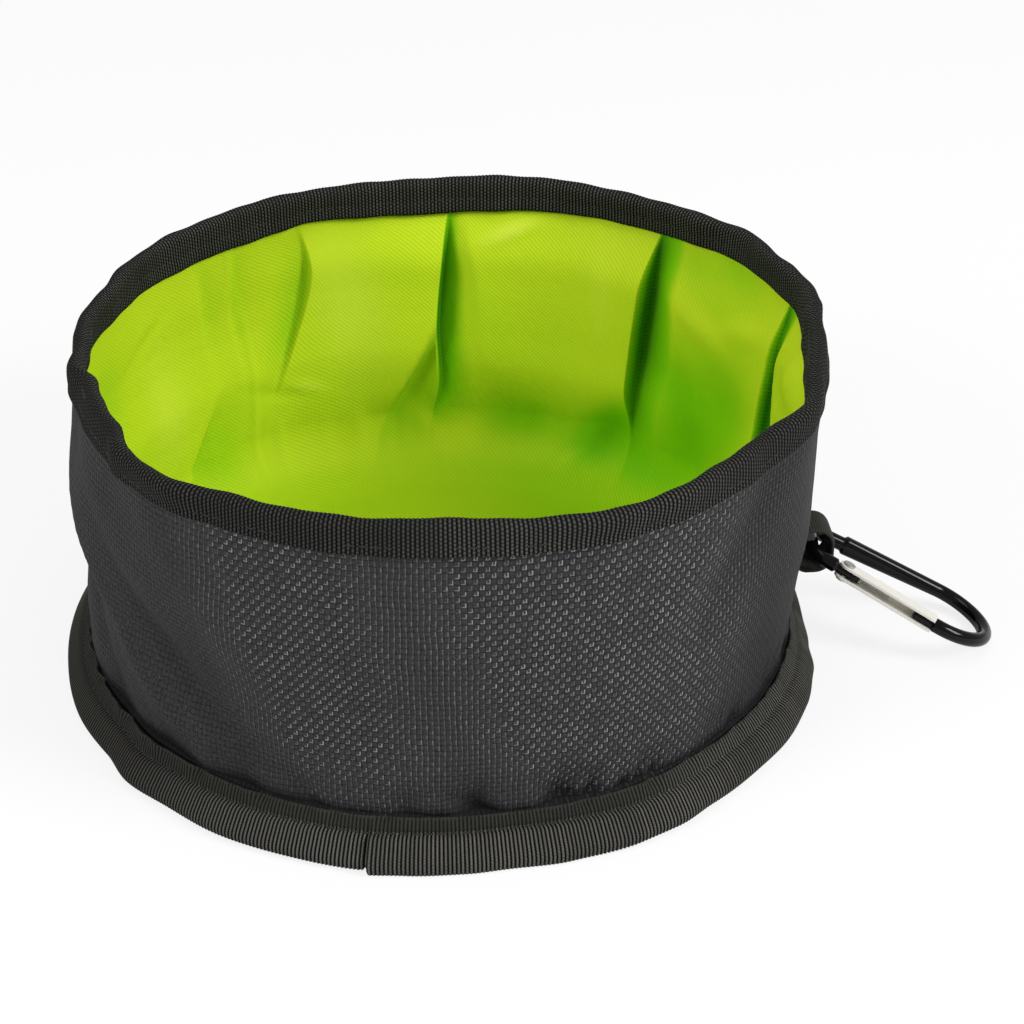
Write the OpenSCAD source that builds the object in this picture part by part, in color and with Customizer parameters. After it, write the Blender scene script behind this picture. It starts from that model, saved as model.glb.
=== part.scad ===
// Collapsible travel bowl sewn from coated fabric, with a snap clip on a webbing loop.
// Millimetres, +Z up. The origin is the centre of the base, on the ground.
// The clip lies on the +X side with its far end on the ground.

/* [Bowl] */
// outside diameter of the fabric wall under the rim tape
wall_d = 171; // [150:1:200]
// height from the ground to the top of the rim
bowl_h = 84; // [76:1:110]
// how far the wall draws in from the rim to the base seam, on the radius
wall_draw = 2; // [1:0.5:4]
// thickness of the outer fabric
cloth_t = 0.6; // [0.5:0.05:0.8]
// thickness of the lining fabric
lining_t = 0.35; // [0.3:0.05:0.5]
// width of the sloping ring between the flat of the base and the seam
base_rise_w = 19; // [14:1:26]

/* [Lining folds] */
// how far the deepest fold of the lining stands in from the wall
fold_depth = 5.5; // [2:0.5:8]
// directions of the folds around the bowl, in degrees from +X
fold_at = [10, 50, 85, 110];
// how deep each fold is, as a part of the deepest
fold_share = [0.8, 1, 0.9, 0.45];
// turn over which a fold comes in from the wall
fold_run = 25; // [15:5:40]

/* [Binding] */
// thickness of the binding tape
tape_t = 0.75; // [0.6:0.05:1]
// height of the rim tape on the outside
rim_out_h = 7; // [5:0.5:9]
// height of the rim tape on the inside
rim_in_h = 8.4; // [6:0.2:10]
// length of the base flange from the seam to its folded edge
flange_len = 11; // [9:0.5:13]
// slope of the base flange below the level
flange_slope = 52; // [48:1:58]
// direction of the cut end of the lapped base tape
lap_at = 257; // [180:1:340]
// turn over which the base tape lies double
lap_arc = 14; // [8:1:24]

/* [Loop] */
// height of the middle of the webbing loop
loop_z = 22; // [21:0.5:30]
// width of the webbing
loop_w = 9.5; // [8:0.5:10]
// thickness of the webbing
web_t = 1.2; // [0.8:0.1:1.6]
// clear height inside the loop
loop_gap_h = 10; // [9:0.5:13]
// clear depth inside the loop
loop_gap_d = 7.6; // [7.6:0.2:9]

/* [Clip] */
// length of the clip over the rod
clip_len = 51; // [46:1:60]
// width of the clip over the rod at its wide end
clip_w = 27; // [24:0.5:32]
// width of the clip over the rod at its neck
neck_w = 18.5; // [17:0.5:21]
// diameter of the rod
rod_d = 3.5; // [3:0.1:3.8]
// height of the flattened spine where it is largest
spine_h = 4.6; // [4.2:0.1:5.2]
// turn of the clip about the upright, away from the radius
clip_yaw = -11; // [-14:1:0]
// turn of the clip about its own length, gate side up
clip_roll = 9; // [0:1:12]
// distance of the gate rivet from the neck bend
rivet_at = 6; // [5:0.5:7]
// radius of the gate rivet
rivet_r = 0.9; // [0.7:0.05:1]
// thickness of the gate sheet
sheet_t = 0.6; // [0.4:0.05:0.7]

/* [Hidden] */
$fn = 64;
lay_gap = 0.12;
rim_gap = 0.5;
wall_r = wall_d/2;
seam_r = wall_r - wall_draw;

// base flange: six layers lie between the two faces of the folded tape
flange_half = (2*tape_t + 2*cloth_t + 2*lining_t + 5*lay_gap)/2;
wall_lay = flange_half - tape_t - lay_gap;
lining_lay = wall_lay - cloth_t - lay_gap;
base_lining_lay = lining_lay - lining_t - lay_gap;
base_lay = base_lining_lay - lining_t - lay_gap;
flange_run = flange_len - flange_half;
flange_along = [cos(flange_slope), -sin(flange_slope)];
flange_out = [sin(flange_slope), cos(flange_slope)];
seam_z = sin(flange_slope)*flange_run + flange_half;
seam_mid_r = seam_r - wall_lay*flange_out[0];
hem_short = 2;
hem_len = flange_run - hem_short;
inner_tape_from = 2;
stitch_from = 3.3;
thread_w = 0.6;
thread_t = 0.3;

// wall outline, height against radius
wall_table = [[0, seam_r], [seam_z, seam_r], [0.38*bowl_h, seam_r + 0.3*wall_draw],
  [0.62*bowl_h, wall_r], [bowl_h, wall_r]];
wall_top = bowl_h - tape_t - rim_gap;
lining_in = cloth_t + lay_gap;

// base panel: the curve from the flat to the seam
turn_in = 1.3;
turn_drop = 1.4;
turn_r = seam_mid_r - turn_in;
turn_z = seam_z - turn_drop;
flat_r = turn_r - base_rise_w;
rise_power = 2.5;
rise_steps = 6;
turn_from = 0.6;
turn_rate = 0.86;

// rim tape
rim_out_r = wall_r + rim_gap + tape_t;
rim_in_r = wall_r - lining_in - lining_t - rim_gap - tape_t;
rim_round = 1.5;

// lining folds
fold_step = 5;
fold_levels = [0, 0, 0.7, 1, 0.8, 0.4, 0, 0];
fold_below = 1.5;
fold_top = bowl_h - rim_in_h - fold_below;
level_parts = [0.72, 0.48, 0.26, 0.09];

// loop
loop_off = 0.2;
loop_back = lookup(loop_z + loop_gap_h/2 + web_t, wall_table) + loop_off;
loop_out = loop_back + loop_gap_d + 2*web_t;
loop_round = 3.4;
tack_h = 1.2;

// clip
rod_r = rod_d/2;
clip_run = clip_len - rod_d;
neck_half = (neck_w - rod_d)/2;
bar_half = 0.35*loop_w;
neck_bend = neck_half - bar_half;
wide_bend = (clip_w - rod_d)/2;
clip_x = loop_back + web_t + loop_gap_d/2;
neck_share = 0.4;
clip_y = -neck_share*(loop_out - web_t/2 - clip_x)*tan(clip_yaw);
gate_dx = clip_run - wide_bend - neck_bend;
gate_dy = wide_bend - neck_half - bar_half;
gate_turn = atan2(gate_dy, gate_dx) + asin((wide_bend - neck_bend)/norm([gate_dx, gate_dy]));
gate_line = sqrt(gate_dx*gate_dx + gate_dy*gate_dy - pow(wide_bend - neck_bend, 2));
spine_from = 9.5;
collar_over = 0.08;
collar_len = 1;
rod_short = 0.2;
rod_over = 0.2;

// gate
tongue_t = 1.9;
tongue_h = 2.8;
side_gap = 0.2;
web_gap = 0.15;
gate_in = tongue_t/2 + side_gap;
gate_side = gate_in + sheet_t;
gate_web = tongue_h/2 + web_gap;
ear_r = gate_web + sheet_t;
gate_end_gap = 0.5;
ear_gap = 0.7;
tongue_over = 3.7;
nose_len = 5.9;
web_back = 2;
gate_len = gate_line - rivet_at - gate_end_gap;
rod_end = rivet_at - ear_r - ear_gap;
tongue_end = rivet_at + tongue_over;
nose_from = gate_line - nose_len;
web_from = rivet_at + web_back;
rivet_gap = 0.05;
rivet_snug = 0.01;
head_r = 1.5;
head_t = 0.4;
head_gap = 0.12;
leaf_t = 0.25;
leaf_w = 1.8;
leaf_len = 8;

// the clip is tilted until its far bend lies on the ground
function drop_at(p) = sqrt(pow(sin(p), 2) + pow(sin(clip_roll)*cos(p), 2));
function lie(p, n) = n == 0 ? p : lie(asin((loop_z - rod_r
  - (neck_half - wide_bend)*sin(clip_roll)*cos(p)
  - wide_bend*(drop_at(p) - sin(p)))/clip_run), n - 1);
clip_pitch = lie(25, 20);

// point on the flange: s along it from the seam, t out from its middle
function flange_at(s, t) = [seam_mid_r + s*flange_along[0] + t*flange_out[0],
  seam_z + s*flange_along[1] + t*flange_out[1]];
// point where the upright at radius r meets the layer at t
function flange_corner(r, t) = flange_at((r - seam_mid_r - t*flange_out[0])/flange_along[0], t);
// point where a base layer turns over into the flange
function flange_turn(t) = flange_at(turn_from - turn_rate*(t + flange_half - tape_t - lay_gap), t);
// base curve, lifted square to itself
function rise_slope(f) = atan(turn_z*rise_power*pow(f, rise_power - 1)/base_rise_w);
function rise_at(f, lift) = [flat_r + base_rise_w*f - lift*sin(rise_slope(f)),
  turn_z*pow(f, rise_power) + lift*cos(rise_slope(f))];
function rise(lift) = [for (i = [0:rise_steps]) rise_at(i/rise_steps, lift)];
function backward(v) = [for (i = [len(v) - 1:-1:0]) v[i]];
function arc(c, r, a, b, n) = [for (i = [0:n]) c + r*[cos(a + (b - a)*i/n), sin(a + (b - a)*i/n)]];

module revolve(points) {
  rotate_extrude() polygon(points);
}

// dished panel between two lifts of the base curve, with its hem in the flange
module panel(low, high, low_lay, high_lay) {
  revolve(concat([[0, low]], rise(low), [flange_turn(low_lay), flange_at(hem_len, low_lay)],
    [flange_at(hem_len, high_lay), flange_turn(high_lay)], backward(rise(high)), [[0, high]]));
}

module outer_base() {
  color([0.18, 0.18, 0.2]) panel(0, cloth_t, base_lay - cloth_t, base_lay);
}

module base_lining() {
  color([0.62, 0.8, 0.1])
    panel(lining_in, lining_in + lining_t, base_lining_lay - lining_t, base_lining_lay);
}

// shell between the wall outline and the same outline moved in
module outer_wall() {
  outside = [for (i = [4:-1:2]) [wall_table[i][1], min(wall_table[i][0], wall_top)]];
  inside = [for (p = outside) [p[0] - cloth_t, p[1]]];
  color([0.2, 0.2, 0.22]) revolve(concat(outside,
    [flange_corner(seam_r, wall_lay), flange_at(hem_len, wall_lay)],
    [flange_at(hem_len, wall_lay - cloth_t), flange_corner(seam_r - cloth_t, wall_lay - cloth_t)],
    backward(inside)));
}

// depth of the folds in one direction: a long way in, then a sharp step back to the wall
function turn_from_fold(a, k) = ((a - fold_at[k] + 540) % 360) - 180;
function fold_one(d) = d >= 0 ? pow(max(0, 1 - d/fold_run), 1.4) : max(0, 1 + d/fold_step);
function fold(a) = max([for (k = [0:len(fold_at) - 1]) fold_share[k]*fold_one(turn_from_fold(a, k))]);

// radius and height of the lining at each level, for the outer or the inner face
function level_z(k) = seam_z + level_parts[k]*(bowl_h - seam_z);
function upright(z, back) = [lookup(z, wall_table) - back, z];
function lining_level(back, lay) = concat([upright(wall_top, back), upright(fold_top, back)],
  [for (k = [0:3]) upright(level_z(k), back)],
  [flange_corner(seam_r - back, lay), flange_at(hem_len, lay)]);
function lining_ring(p, share) = [for (a = [0:fold_step:360 - fold_step])
  let (r = p[0] - share*fold_depth*fold(a)) [r*cos(a), r*sin(a), p[1]]];
function lining_skin(levels) = [for (k = [0:7]) each lining_ring(levels[k], fold_levels[k])];

module wall_lining() {
  around = 360/fold_step;
  size = 8*around;
  outer = lining_skin(lining_level(lining_in, lining_lay));
  inner = lining_skin(lining_level(lining_in + lining_t, lining_lay - lining_t));
  quads = [for (k = [0:6], j = [0:around - 1])
    [k*around + j, k*around + (j + 1) % around, (k + 1)*around + (j + 1) % around, (k + 1)*around + j]];
  edges = [for (j = [0:around - 1]) [j, (j + 1) % around]];
  low = 7*around;
  faces = concat(
    [for (q = quads) each [[q[0], q[1], q[2]], [q[0], q[2], q[3]]]],
    [for (q = quads) each [[q[2] + size, q[1] + size, q[0] + size], [q[3] + size, q[2] + size, q[0] + size]]],
    [for (e = edges) each [[e[1], e[0], e[0] + size], [e[1], e[0] + size, e[1] + size]]],
    [for (e = edges) each [[e[0] + low, e[1] + low, e[0] + low + size],
      [e[1] + low, e[1] + low + size, e[0] + low + size]]]);
  color([0.66, 0.85, 0.1]) polyhedron(concat(outer, inner), faces, convexity = 6);
}

// tape folded round the flange, with its cut end lapped over itself
module base_binding() {
  fold_mid = flange_at(flange_run, 0);
  round_out = arc(fold_mid, flange_half, 90 - flange_slope, -90 - flange_slope, 12);
  round_in = arc(fold_mid, flange_half - tape_t, -90 - flange_slope, 90 - flange_slope, 12);
  color([0.2, 0.2, 0.17]) union() {
    revolve(concat([flange_at(0, flange_half)], round_out,
      [flange_at(inner_tape_from, -flange_half), flange_at(inner_tape_from, tape_t - flange_half)],
      round_in, [flange_at(0, flange_half - tape_t)]));
    rotate([0, 0, lap_at]) rotate_extrude(angle = lap_arc)
      polygon(flange_strip(0.3, flange_run, flange_half - tape_t/2, flange_half + tape_t));
  }
}

function flange_strip(s0, s1, t0, t1) = [flange_at(s0, t0), flange_at(s1, t0),
  flange_at(s1, t1), flange_at(s0, t1)];

// lock stitch round the base tape, raised where the tape lies double
module base_stitching() {
  color([0.12, 0.12, 0.11]) {
    rotate([0, 0, lap_at + lap_arc + 0.3]) rotate_extrude(angle = 360 - lap_arc - 0.6)
      polygon(flange_strip(stitch_from, stitch_from + thread_w, flange_half, flange_half + thread_t));
    rotate([0, 0, lap_at]) rotate_extrude(angle = lap_arc)
      polygon(flange_strip(stitch_from, stitch_from + thread_w,
        flange_half + tape_t, flange_half + tape_t + thread_t));
  }
}

// outline of the loop seen along the tangent, from the wall out
function loop_outline(x0, x1, half, r) = concat([[x0, -half]],
  arc([x1 - r, r - half], r, -90, 0, 8), arc([x1 - r, half - r], r, 0, 90, 8), [[x0, half]]);

module hang_loop() {
  gap_half = loop_gap_h/2;
  color([0.26, 0.26, 0.22]) translate([0, loop_w/2, loop_z]) rotate([90, 0, 0]) linear_extrude(loop_w)
    difference() {
      polygon(loop_outline(loop_back, loop_out, gap_half + web_t, loop_round + web_t));
      polygon(loop_outline(loop_back + web_t, loop_out - web_t, gap_half, loop_round));
    }
}

// two bar tacks through the back of the loop into the wall
module loop_stitching() {
  tack_z = loop_gap_h/2 - tack_h;
  color([0.12, 0.12, 0.11]) for (z = [-tack_z, tack_z])
    translate([loop_back + web_t, -0.35*loop_w, loop_z + z - tack_h/2])
      cube([thread_t, 0.7*loop_w, tack_h]);
}

// tape folded over the rim
module rim_binding() {
  round_in = rim_round - tape_t/2;
  color([0.2, 0.2, 0.17]) revolve(concat(
    [[rim_out_r, bowl_h - rim_out_h]],
    arc([rim_out_r - rim_round, bowl_h - rim_round], rim_round, 0, 90, 6),
    arc([rim_in_r + rim_round, bowl_h - rim_round], rim_round, 90, 180, 6),
    [[rim_in_r, bowl_h - rim_in_h], [rim_in_r + tape_t, bowl_h - rim_in_h]],
    arc([rim_in_r + tape_t + round_in, bowl_h - tape_t - round_in], round_in, 180, 90, 6),
    arc([rim_out_r - tape_t - round_in, bowl_h - tape_t - round_in], round_in, 90, 0, 6),
    [[rim_out_r - tape_t, bowl_h - rim_out_h]]));
}

// lock stitch near both edges of the rim tape
module rim_stitching() {
  edge = 1.4;
  color([0.12, 0.12, 0.11]) {
    thread_ring(rim_out_r, rim_out_r + thread_t, bowl_h - rim_out_h + edge);
    thread_ring(rim_in_r - thread_t, rim_in_r, bowl_h - rim_in_h + edge);
  }
}

module thread_ring(r0, r1, z) {
  revolve([[r0, z], [r1, z], [r1, z + thread_w], [r0, z + thread_w]]);
}

// the clip lies in its own plane: x along it from the bar in the loop, spine on +y, gate on -y;
// its neck is shifted towards the middle of the loop's outer band, as far as the swing leaves room
module on_clip() {
  translate([clip_x, clip_y, loop_z]) rotate([0, 0, clip_yaw]) rotate([0, clip_pitch, 0])
    rotate([-clip_roll, 0, 0]) children();
}

// the gate line: x along it from the neck, +y into the clip
module on_gate() {
  on_clip() translate([neck_bend - neck_bend*sin(gate_turn), -bar_half - neck_bend*cos(gate_turn), 0])
    rotate([0, 0, -gate_turn]) children();
}

module rod(length) {
  rotate([0, 90, 0]) cylinder(r = rod_r, h = length);
}

// a straight length and a bend meet in a collar a hair thicker than the rod, along x
module collar() {
  translate([-collar_len/2, 0, 0]) rotate([0, 90, 0]) cylinder(r = rod_r + collar_over, h = collar_len);
}

// bend about c from direction a, stopping short of the collars at its ends
module bend(c, r, a, turn, short_from, short_to) {
  cut = rod_short*180/(PI*r);
  translate(c) rotate([0, 0, a + short_from*cut]) rotate_extrude(angle = turn - (short_from + short_to)*cut)
    translate([r, 0]) circle(r = rod_r);
}

// flat tongue of the frame inside the gate, along the gate line
module tongue(from, to) {
  translate([from, -tongue_h/2, -tongue_t/2]) cube([to - from, tongue_h, tongue_t]);
}

// flattened length of the spine, tallest at its neck end
module spine() {
  run = clip_run - wide_bend - spine_from;
  wide = rod_r + collar_over;
  side = spine_h/2 - wide;
  section = concat(arc([0, side], wide, 0, 180, 12), arc([0, -side], wide, 180, 360, 12));
  translate([spine_from, neck_half, 0]) intersection() {
    rotate([90, 0, 90]) linear_extrude(run + rod_over) polygon(section);
    translate([0, rod_d, 0]) rotate([90, 0, 0]) linear_extrude(2*rod_d)
      polygon([[0, -spine_h/2], [run + rod_over, -wide], [run + rod_over, wide], [0, spine_h/2]]);
  }
}

module clip_frame() {
  color([0.03, 0.03, 0.03]) difference() {
    union() {
      on_clip() {
        rotate([0, 0, 90]) translate([rod_short - bar_half, 0, 0]) rod(2*(bar_half - rod_short));
        for (y = [-bar_half, bar_half]) translate([0, y, 0]) rotate([0, 0, 90]) collar();
        bend([neck_bend, bar_half, 0], neck_bend, 90, 90, 1, 1);
        bend([neck_bend, -bar_half, 0], neck_bend, 180, 90 - gate_turn, 1, 1);
        translate([neck_bend, neck_half, 0]) collar();
        translate([neck_bend + rod_short, neck_half, 0]) rod(spine_from - neck_bend - rod_short + rod_over);
        spine();
        bend([clip_run - wide_bend, neck_half - wide_bend, 0], wide_bend,
          -90 - gate_turn, 180 + gate_turn, 0, 0);
      }
      on_gate() {
        collar();
        translate([rod_short, 0, 0]) rod(rod_end - rod_short);
        tongue(rod_end - 1, tongue_end - tongue_h/2);
        translate([tongue_end - tongue_h/2, 0, -tongue_t/2]) cylinder(r = tongue_h/2, h = tongue_t);
        tongue(nose_from, gate_line + 0.5);
      }
    }
    on_gate() translate([rivet_at, 0, -rod_d]) cylinder(r = rivet_r + rivet_snug, h = 2*rod_d);
  }
}

// rivet through the tongue and both ears of the gate
module gate_rivet() {
  reach = gate_side + head_gap;
  color([0.55, 0.55, 0.55]) on_gate() translate([rivet_at, 0, 0]) union() {
    translate([0, 0, -reach - head_t/2]) cylinder(r = rivet_r, h = 2*reach + head_t);
    translate([0, 0, reach]) cylinder(r = head_r, h = head_t);
    translate([0, 0, -reach - head_t]) cylinder(r = head_r, h = head_t);
  }
}

// folded sheet channel, open outward, its web on the inner side
module clip_gate() {
  gate_end = rivet_at + gate_len;
  color([0.8, 0.79, 0.75]) on_gate() difference() {
    union() {
      for (z = [-gate_side, gate_in]) translate([rivet_at, 0, z]) {
        cylinder(r = ear_r, h = sheet_t);
        translate([0, -ear_r, 0]) cube([gate_len, 2*ear_r, sheet_t]);
      }
      translate([web_from, gate_web, -gate_side])
        cube([gate_end - web_from, sheet_t, 2*gate_side]);
    }
    translate([rivet_at, 0, -rod_d]) cylinder(r = rivet_r + rivet_gap, h = 2*rod_d);
  }
}

// bent leaf on the web of the gate that pushes against the end of the tongue
module gate_spring() {
  color([0.7, 0.7, 0.68]) on_gate() translate([tongue_end + side_gap + 0.1, 0, -leaf_w/2]) union() {
    translate([0, gate_web - leaf_t, 0]) cube([leaf_len, leaf_t, leaf_w]);
    translate([0, -0.3, 0]) cube([leaf_t, gate_web + 0.3, leaf_w]);
  }
}

outer_base();
base_lining();
outer_wall();
wall_lining();
base_binding();
base_stitching();
hang_loop();
loop_stitching();
rim_binding();
rim_stitching();
clip_frame();
gate_rivet();
clip_gate();
gate_spring();
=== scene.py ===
import math
import bmesh
import bpy
import numpy as np
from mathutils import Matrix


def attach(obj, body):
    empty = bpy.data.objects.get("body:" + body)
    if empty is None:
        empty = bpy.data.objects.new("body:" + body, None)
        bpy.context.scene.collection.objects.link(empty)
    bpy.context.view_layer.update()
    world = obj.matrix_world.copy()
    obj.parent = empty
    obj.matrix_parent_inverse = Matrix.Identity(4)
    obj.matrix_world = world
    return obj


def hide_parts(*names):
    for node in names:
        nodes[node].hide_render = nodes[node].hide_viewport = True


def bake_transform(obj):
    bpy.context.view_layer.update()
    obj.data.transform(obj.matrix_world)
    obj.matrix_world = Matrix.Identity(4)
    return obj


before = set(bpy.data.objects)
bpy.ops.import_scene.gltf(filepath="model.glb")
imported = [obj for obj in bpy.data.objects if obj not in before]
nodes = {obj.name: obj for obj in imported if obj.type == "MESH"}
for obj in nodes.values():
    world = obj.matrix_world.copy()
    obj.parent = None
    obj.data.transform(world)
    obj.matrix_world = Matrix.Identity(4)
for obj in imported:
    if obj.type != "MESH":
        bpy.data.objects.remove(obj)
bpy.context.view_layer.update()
mm = 0.001
print("frame loaded:", len(nodes), "nodes")


# small curves

def smooth(x, a, b):  # 0 before a, 1 after b, an S curve between
    t = np.clip((np.asarray(x, float) - a) / (b - a), 0, 1)
    return t * t * (3 - 2 * t)


def hill(x, centre, width):  # bell of height 1
    return np.exp(-((np.asarray(x, float) - centre) / width) ** 2)


def turnFrom(az, at):  # degrees from a direction, between -180 and 180
    return (np.asarray(az, float) - at + 180) % 360 - 180


def along(x, points):  # straight lines through (x, value) points
    xs, vs = zip(*sorted(points))
    return np.interp(x, xs, vs)


def ringCurve(az, rows, column):  # S curves between the rows' values, closed round the full turn
    at = np.array([row[0] for row in rows] + [rows[0][0] + 360], float)
    value = np.array([row[column] for row in rows] + [rows[0][column]], float)
    az = np.mod(np.asarray(az, float) - at[0], 360) + at[0]
    k = np.clip(np.searchsorted(at, az, side="right") - 1, 0, len(at) - 2)
    t = smooth((az - at[k]) / (at[k + 1] - at[k]), 0, 1)
    return value[k] * (1 - t) + value[k + 1] * t


# meshes

def putMesh(name, points, faces, uvs=None, body="bowl", slotName=None, replaces=()):
    # points n x 3 in mm, faces a list of index arrays (quads or triangles), uvs one array per face array
    mesh = bpy.data.meshes.new(name)
    points = np.asarray(points, float).reshape(-1, 3) * mm
    corners = np.concatenate([f.reshape(-1) for f in faces])
    sizes = np.concatenate([np.full(len(f), f.shape[1]) for f in faces])
    starts = np.concatenate([[0], np.cumsum(sizes)[:-1]])
    mesh.vertices.add(len(points))
    mesh.vertices.foreach_set("co", points.astype(np.float32).ravel())
    mesh.loops.add(len(corners))
    mesh.loops.foreach_set("vertex_index", corners.astype(np.int32))
    mesh.polygons.add(len(sizes))
    mesh.polygons.foreach_set("loop_start", starts.astype(np.int32))
    mesh.polygons.foreach_set("use_smooth", np.ones(len(sizes), bool))
    mesh.update(calc_edges=True)
    if uvs is not None:
        layer = mesh.uv_layers.new(name="cloth")
        flat = np.concatenate([u.reshape(-1) for u in uvs])
        layer.data.foreach_set("uv", flat.astype(np.float32))
    mesh.validate()
    piece = bpy.data.objects.new(name, mesh)
    bpy.context.scene.collection.objects.link(piece)
    if body:
        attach(piece, body)
    if replaces:
        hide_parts(*replaces)
    return piece


def gridFaces(stepsA, stepsB, wrapA, wrapB):  # quads of a grid, and the grid step of each corner
    a, b = np.meshgrid(np.arange(stepsA if wrapA else stepsA - 1),
                       np.arange(stepsB if wrapB else stepsB - 1), indexing="ij")
    cornerA = np.stack([a, a + 1, a + 1, a], -1).reshape(-1, 4)
    cornerB = np.stack([b, b, b + 1, b + 1], -1).reshape(-1, 4)
    return (cornerA % stepsA) * stepsB + cornerB % stepsB, cornerA, cornerB


def gridPiece(name, points, uvA, uvB, wrapA=True, wrapB=True, **more):
    # grid of points, uvA and uvB lengths along its two ways, one longer than the grid where it wraps
    faces, cornerA, cornerB = gridFaces(points.shape[0], points.shape[1], wrapA, wrapB)
    uv = np.stack([np.asarray(uvA)[cornerA], np.asarray(uvB)[cornerB]], -1)
    return putMesh(name, points, [faces], [uv], **more)


def discPiece(name, points, uv, **more):
    # panel of revolution: rings from the middle of the underside out and back to the middle of the top,
    # its two middles closed by fans
    count, deep = points.shape[:2]
    faces, cornerA, cornerB = gridFaces(count, deep, True, False)
    ends = points[:, [0, deep - 1]].mean(0)
    ring = np.arange(count)
    after = (ring + 1) % count
    low = np.stack([np.full(count, count * deep), after * deep, ring * deep], -1)
    high = np.stack([np.full(count, count * deep + 1), ring * deep + deep - 1, after * deep + deep - 1], -1)
    flat = np.concatenate([uv.reshape(-1, 2), np.zeros((2, 2))])
    allPoints = np.concatenate([points.reshape(-1, 3), ends])
    return putMesh(name, allPoints, [faces, low, high], [flat[faces], flat[low], flat[high]], **more)


def ringLength(profile):  # length run along a closed profile, one longer than it
    closed = np.concatenate([profile, profile[:1]])
    return np.concatenate([[0], np.cumsum(np.linalg.norm(np.diff(closed, axis=0), axis=1))])


def around(radius, az, z):  # cylinder coordinates to points
    a = np.radians(az)
    return np.stack([radius * np.cos(a), radius * np.sin(a), np.broadcast_to(z, np.shape(radius))], -1)


def addMask(piece, name, values):  # one number per point for a material to read
    layer = piece.data.attributes.new(name, "FLOAT", "POINT")
    layer.data.foreach_set("value", np.asarray(values, np.float32).ravel())


def paint(piece, material):  # the only material of a piece
    piece.data.materials.clear()
    piece.data.materials.append(material)


# camera, at the photograph's place

camera = dict(place=(-19.853, -486.518, 334.316), pitch=31.643, yaw=4.310, lens=85)
camData = bpy.data.cameras.new("camera")
camData.lens = camera["lens"]
camData.sensor_width = 36
camData.clip_start = 0.01
camObject = bpy.data.objects.new("camera", camData)
camObject.location = [c * mm for c in camera["place"]]
camObject.rotation_euler = (math.radians(90 - camera["pitch"]), 0, -math.radians(camera["yaw"]))
bpy.context.scene.collection.objects.link(camObject)
bpy.context.scene.camera = camObject
print("camera set")


# the bowl's form: radius of the outer wall by direction and height

bowl = dict(
    top=83.6, clothT=0.6, liningT=0.35, layGap=0.25,
    middle=[(0, 83.7), (12, 83.8), (21, 84.0), (27, 83.9), (31, 83.8), (36, 84.0), (40, 84.5),
            (48, 85.2), (55, 85.5), (64, 85.3), (70, 85.4), (76, 85.1), (84, 84.6)],
    lean=[(0, -0.5), (12, -0.5), (21, 0.05), (27, 0.7), (31.5, 1.4), (36, 1.95), (40, 1.8),
          (48, 1.0), (55, 0.9), (64, 1.6), (70, 2.25), (80, 2.85), (84, 2.9)],
    deepTop=1.9, deepLow=0.5, deepFrom=(5, 80),  # more depth front to back than side to side
    tiltX=0.97 / 90, tiltY=-0.85 / 90,           # slope of the rim
    rimX=86, rimY=87,                            # half length and half depth of the rim
    rimShare=0.45, rimFrom=(48, 78),             # share of the rim's waves in the wall, and where
    liftFrom=(12, 80),                           # heights over which the cloth takes up the rim's rise
)
rimShape = [  # direction, crest out, crest up, tape's inner edge out
    (0, -1.4, 0, -2.6), (4, 0, 0, -0.6), (10, 0.8, 0, 0.9), (15, 0.3, 0, 0.6), (20, -0.1, 0, 1.2),
    (30, 1.6, 0, 1), (40, -0.2, -0.1, 0.8), (45, -0.3, -0.2, 0.6), (50, -0.4, -0.3, 0.5),
    (60, -0.3, -0.3, 0.7), (70, 0.4, -0.2, -0.1), (80, 0, -0.6, -0.5), (90, -0.2, -1, -0.8),
    (100, 0, -0.9, -0.2), (110, 0, -0.3, 0.4), (115, 0, -0.2, 0.4), (119, 0.1, 0, -1.1),
    (130, -0.1, 0, -0.5), (140, 0.5, 0, -0.6), (150, 0.3, 0, 0.1), (160, -1, 0, 0.1), (170, -0.4, 0, 1),
    (180, -1.5, 0, 0.8), (187, -0.3, 0, 1.4), (193, -2.9, 0, 0), (208, -2.1, 0, 0), (216, 1.2, 0, 0),
    (227, 2.1, 0, 0), (237, -0.6, 0, 0), (250, -0.8, 0, 0), (260, -1.5, 0, 0), (269, -2.2, 0, 0),
    (280, 0, 0, 0), (290, 2.2, 0, 0), (300, 1.5, 0, 0), (310, -0.5, 0, 0), (318, -1.3, 0, 0),
    (331, 1.5, 0, 0), (342, -1.6, 0, -2), (351, -1.7, 0, -4.5),
]
wallDents = [  # direction, height, how far in, width in degrees, half height, slant in degrees per mm
    (252, 34, 0.6, 9, 20, 0), (281, 48, 0.5, 10, 22, 0), (305, 40, -0.5, 12, 24, 0),
    (325, 30, 0.8, 9, 16, 0), (345, 52, -0.4, 10, 18, 0), (60, 45, 0.8, 14, 22, 0),
    (110, 40, -0.6, 16, 24, 0), (160, 50, 0.7, 14, 22, 0), (210, 34, -2.3, 4.5, 20, -0.88),
    (221, 38, 2.1, 5, 20, -0.88), (199, 25, 1.6, 5, 14, -0.88), (234, 52, -1.2, 6, 18, -0.6),
    (198, 62, -0.9, 7, 12, 0), (214, 67, 1, 6, 10, 0), (240, 22, 0.8, 5, 12, -0.5),
    (314, 58, 1.2, 5, 18, 0.5), (304, 60, -0.9, 4, 16, 0.5), (333, 48, -0.5, 5, 18, 0.3),
]
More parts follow.
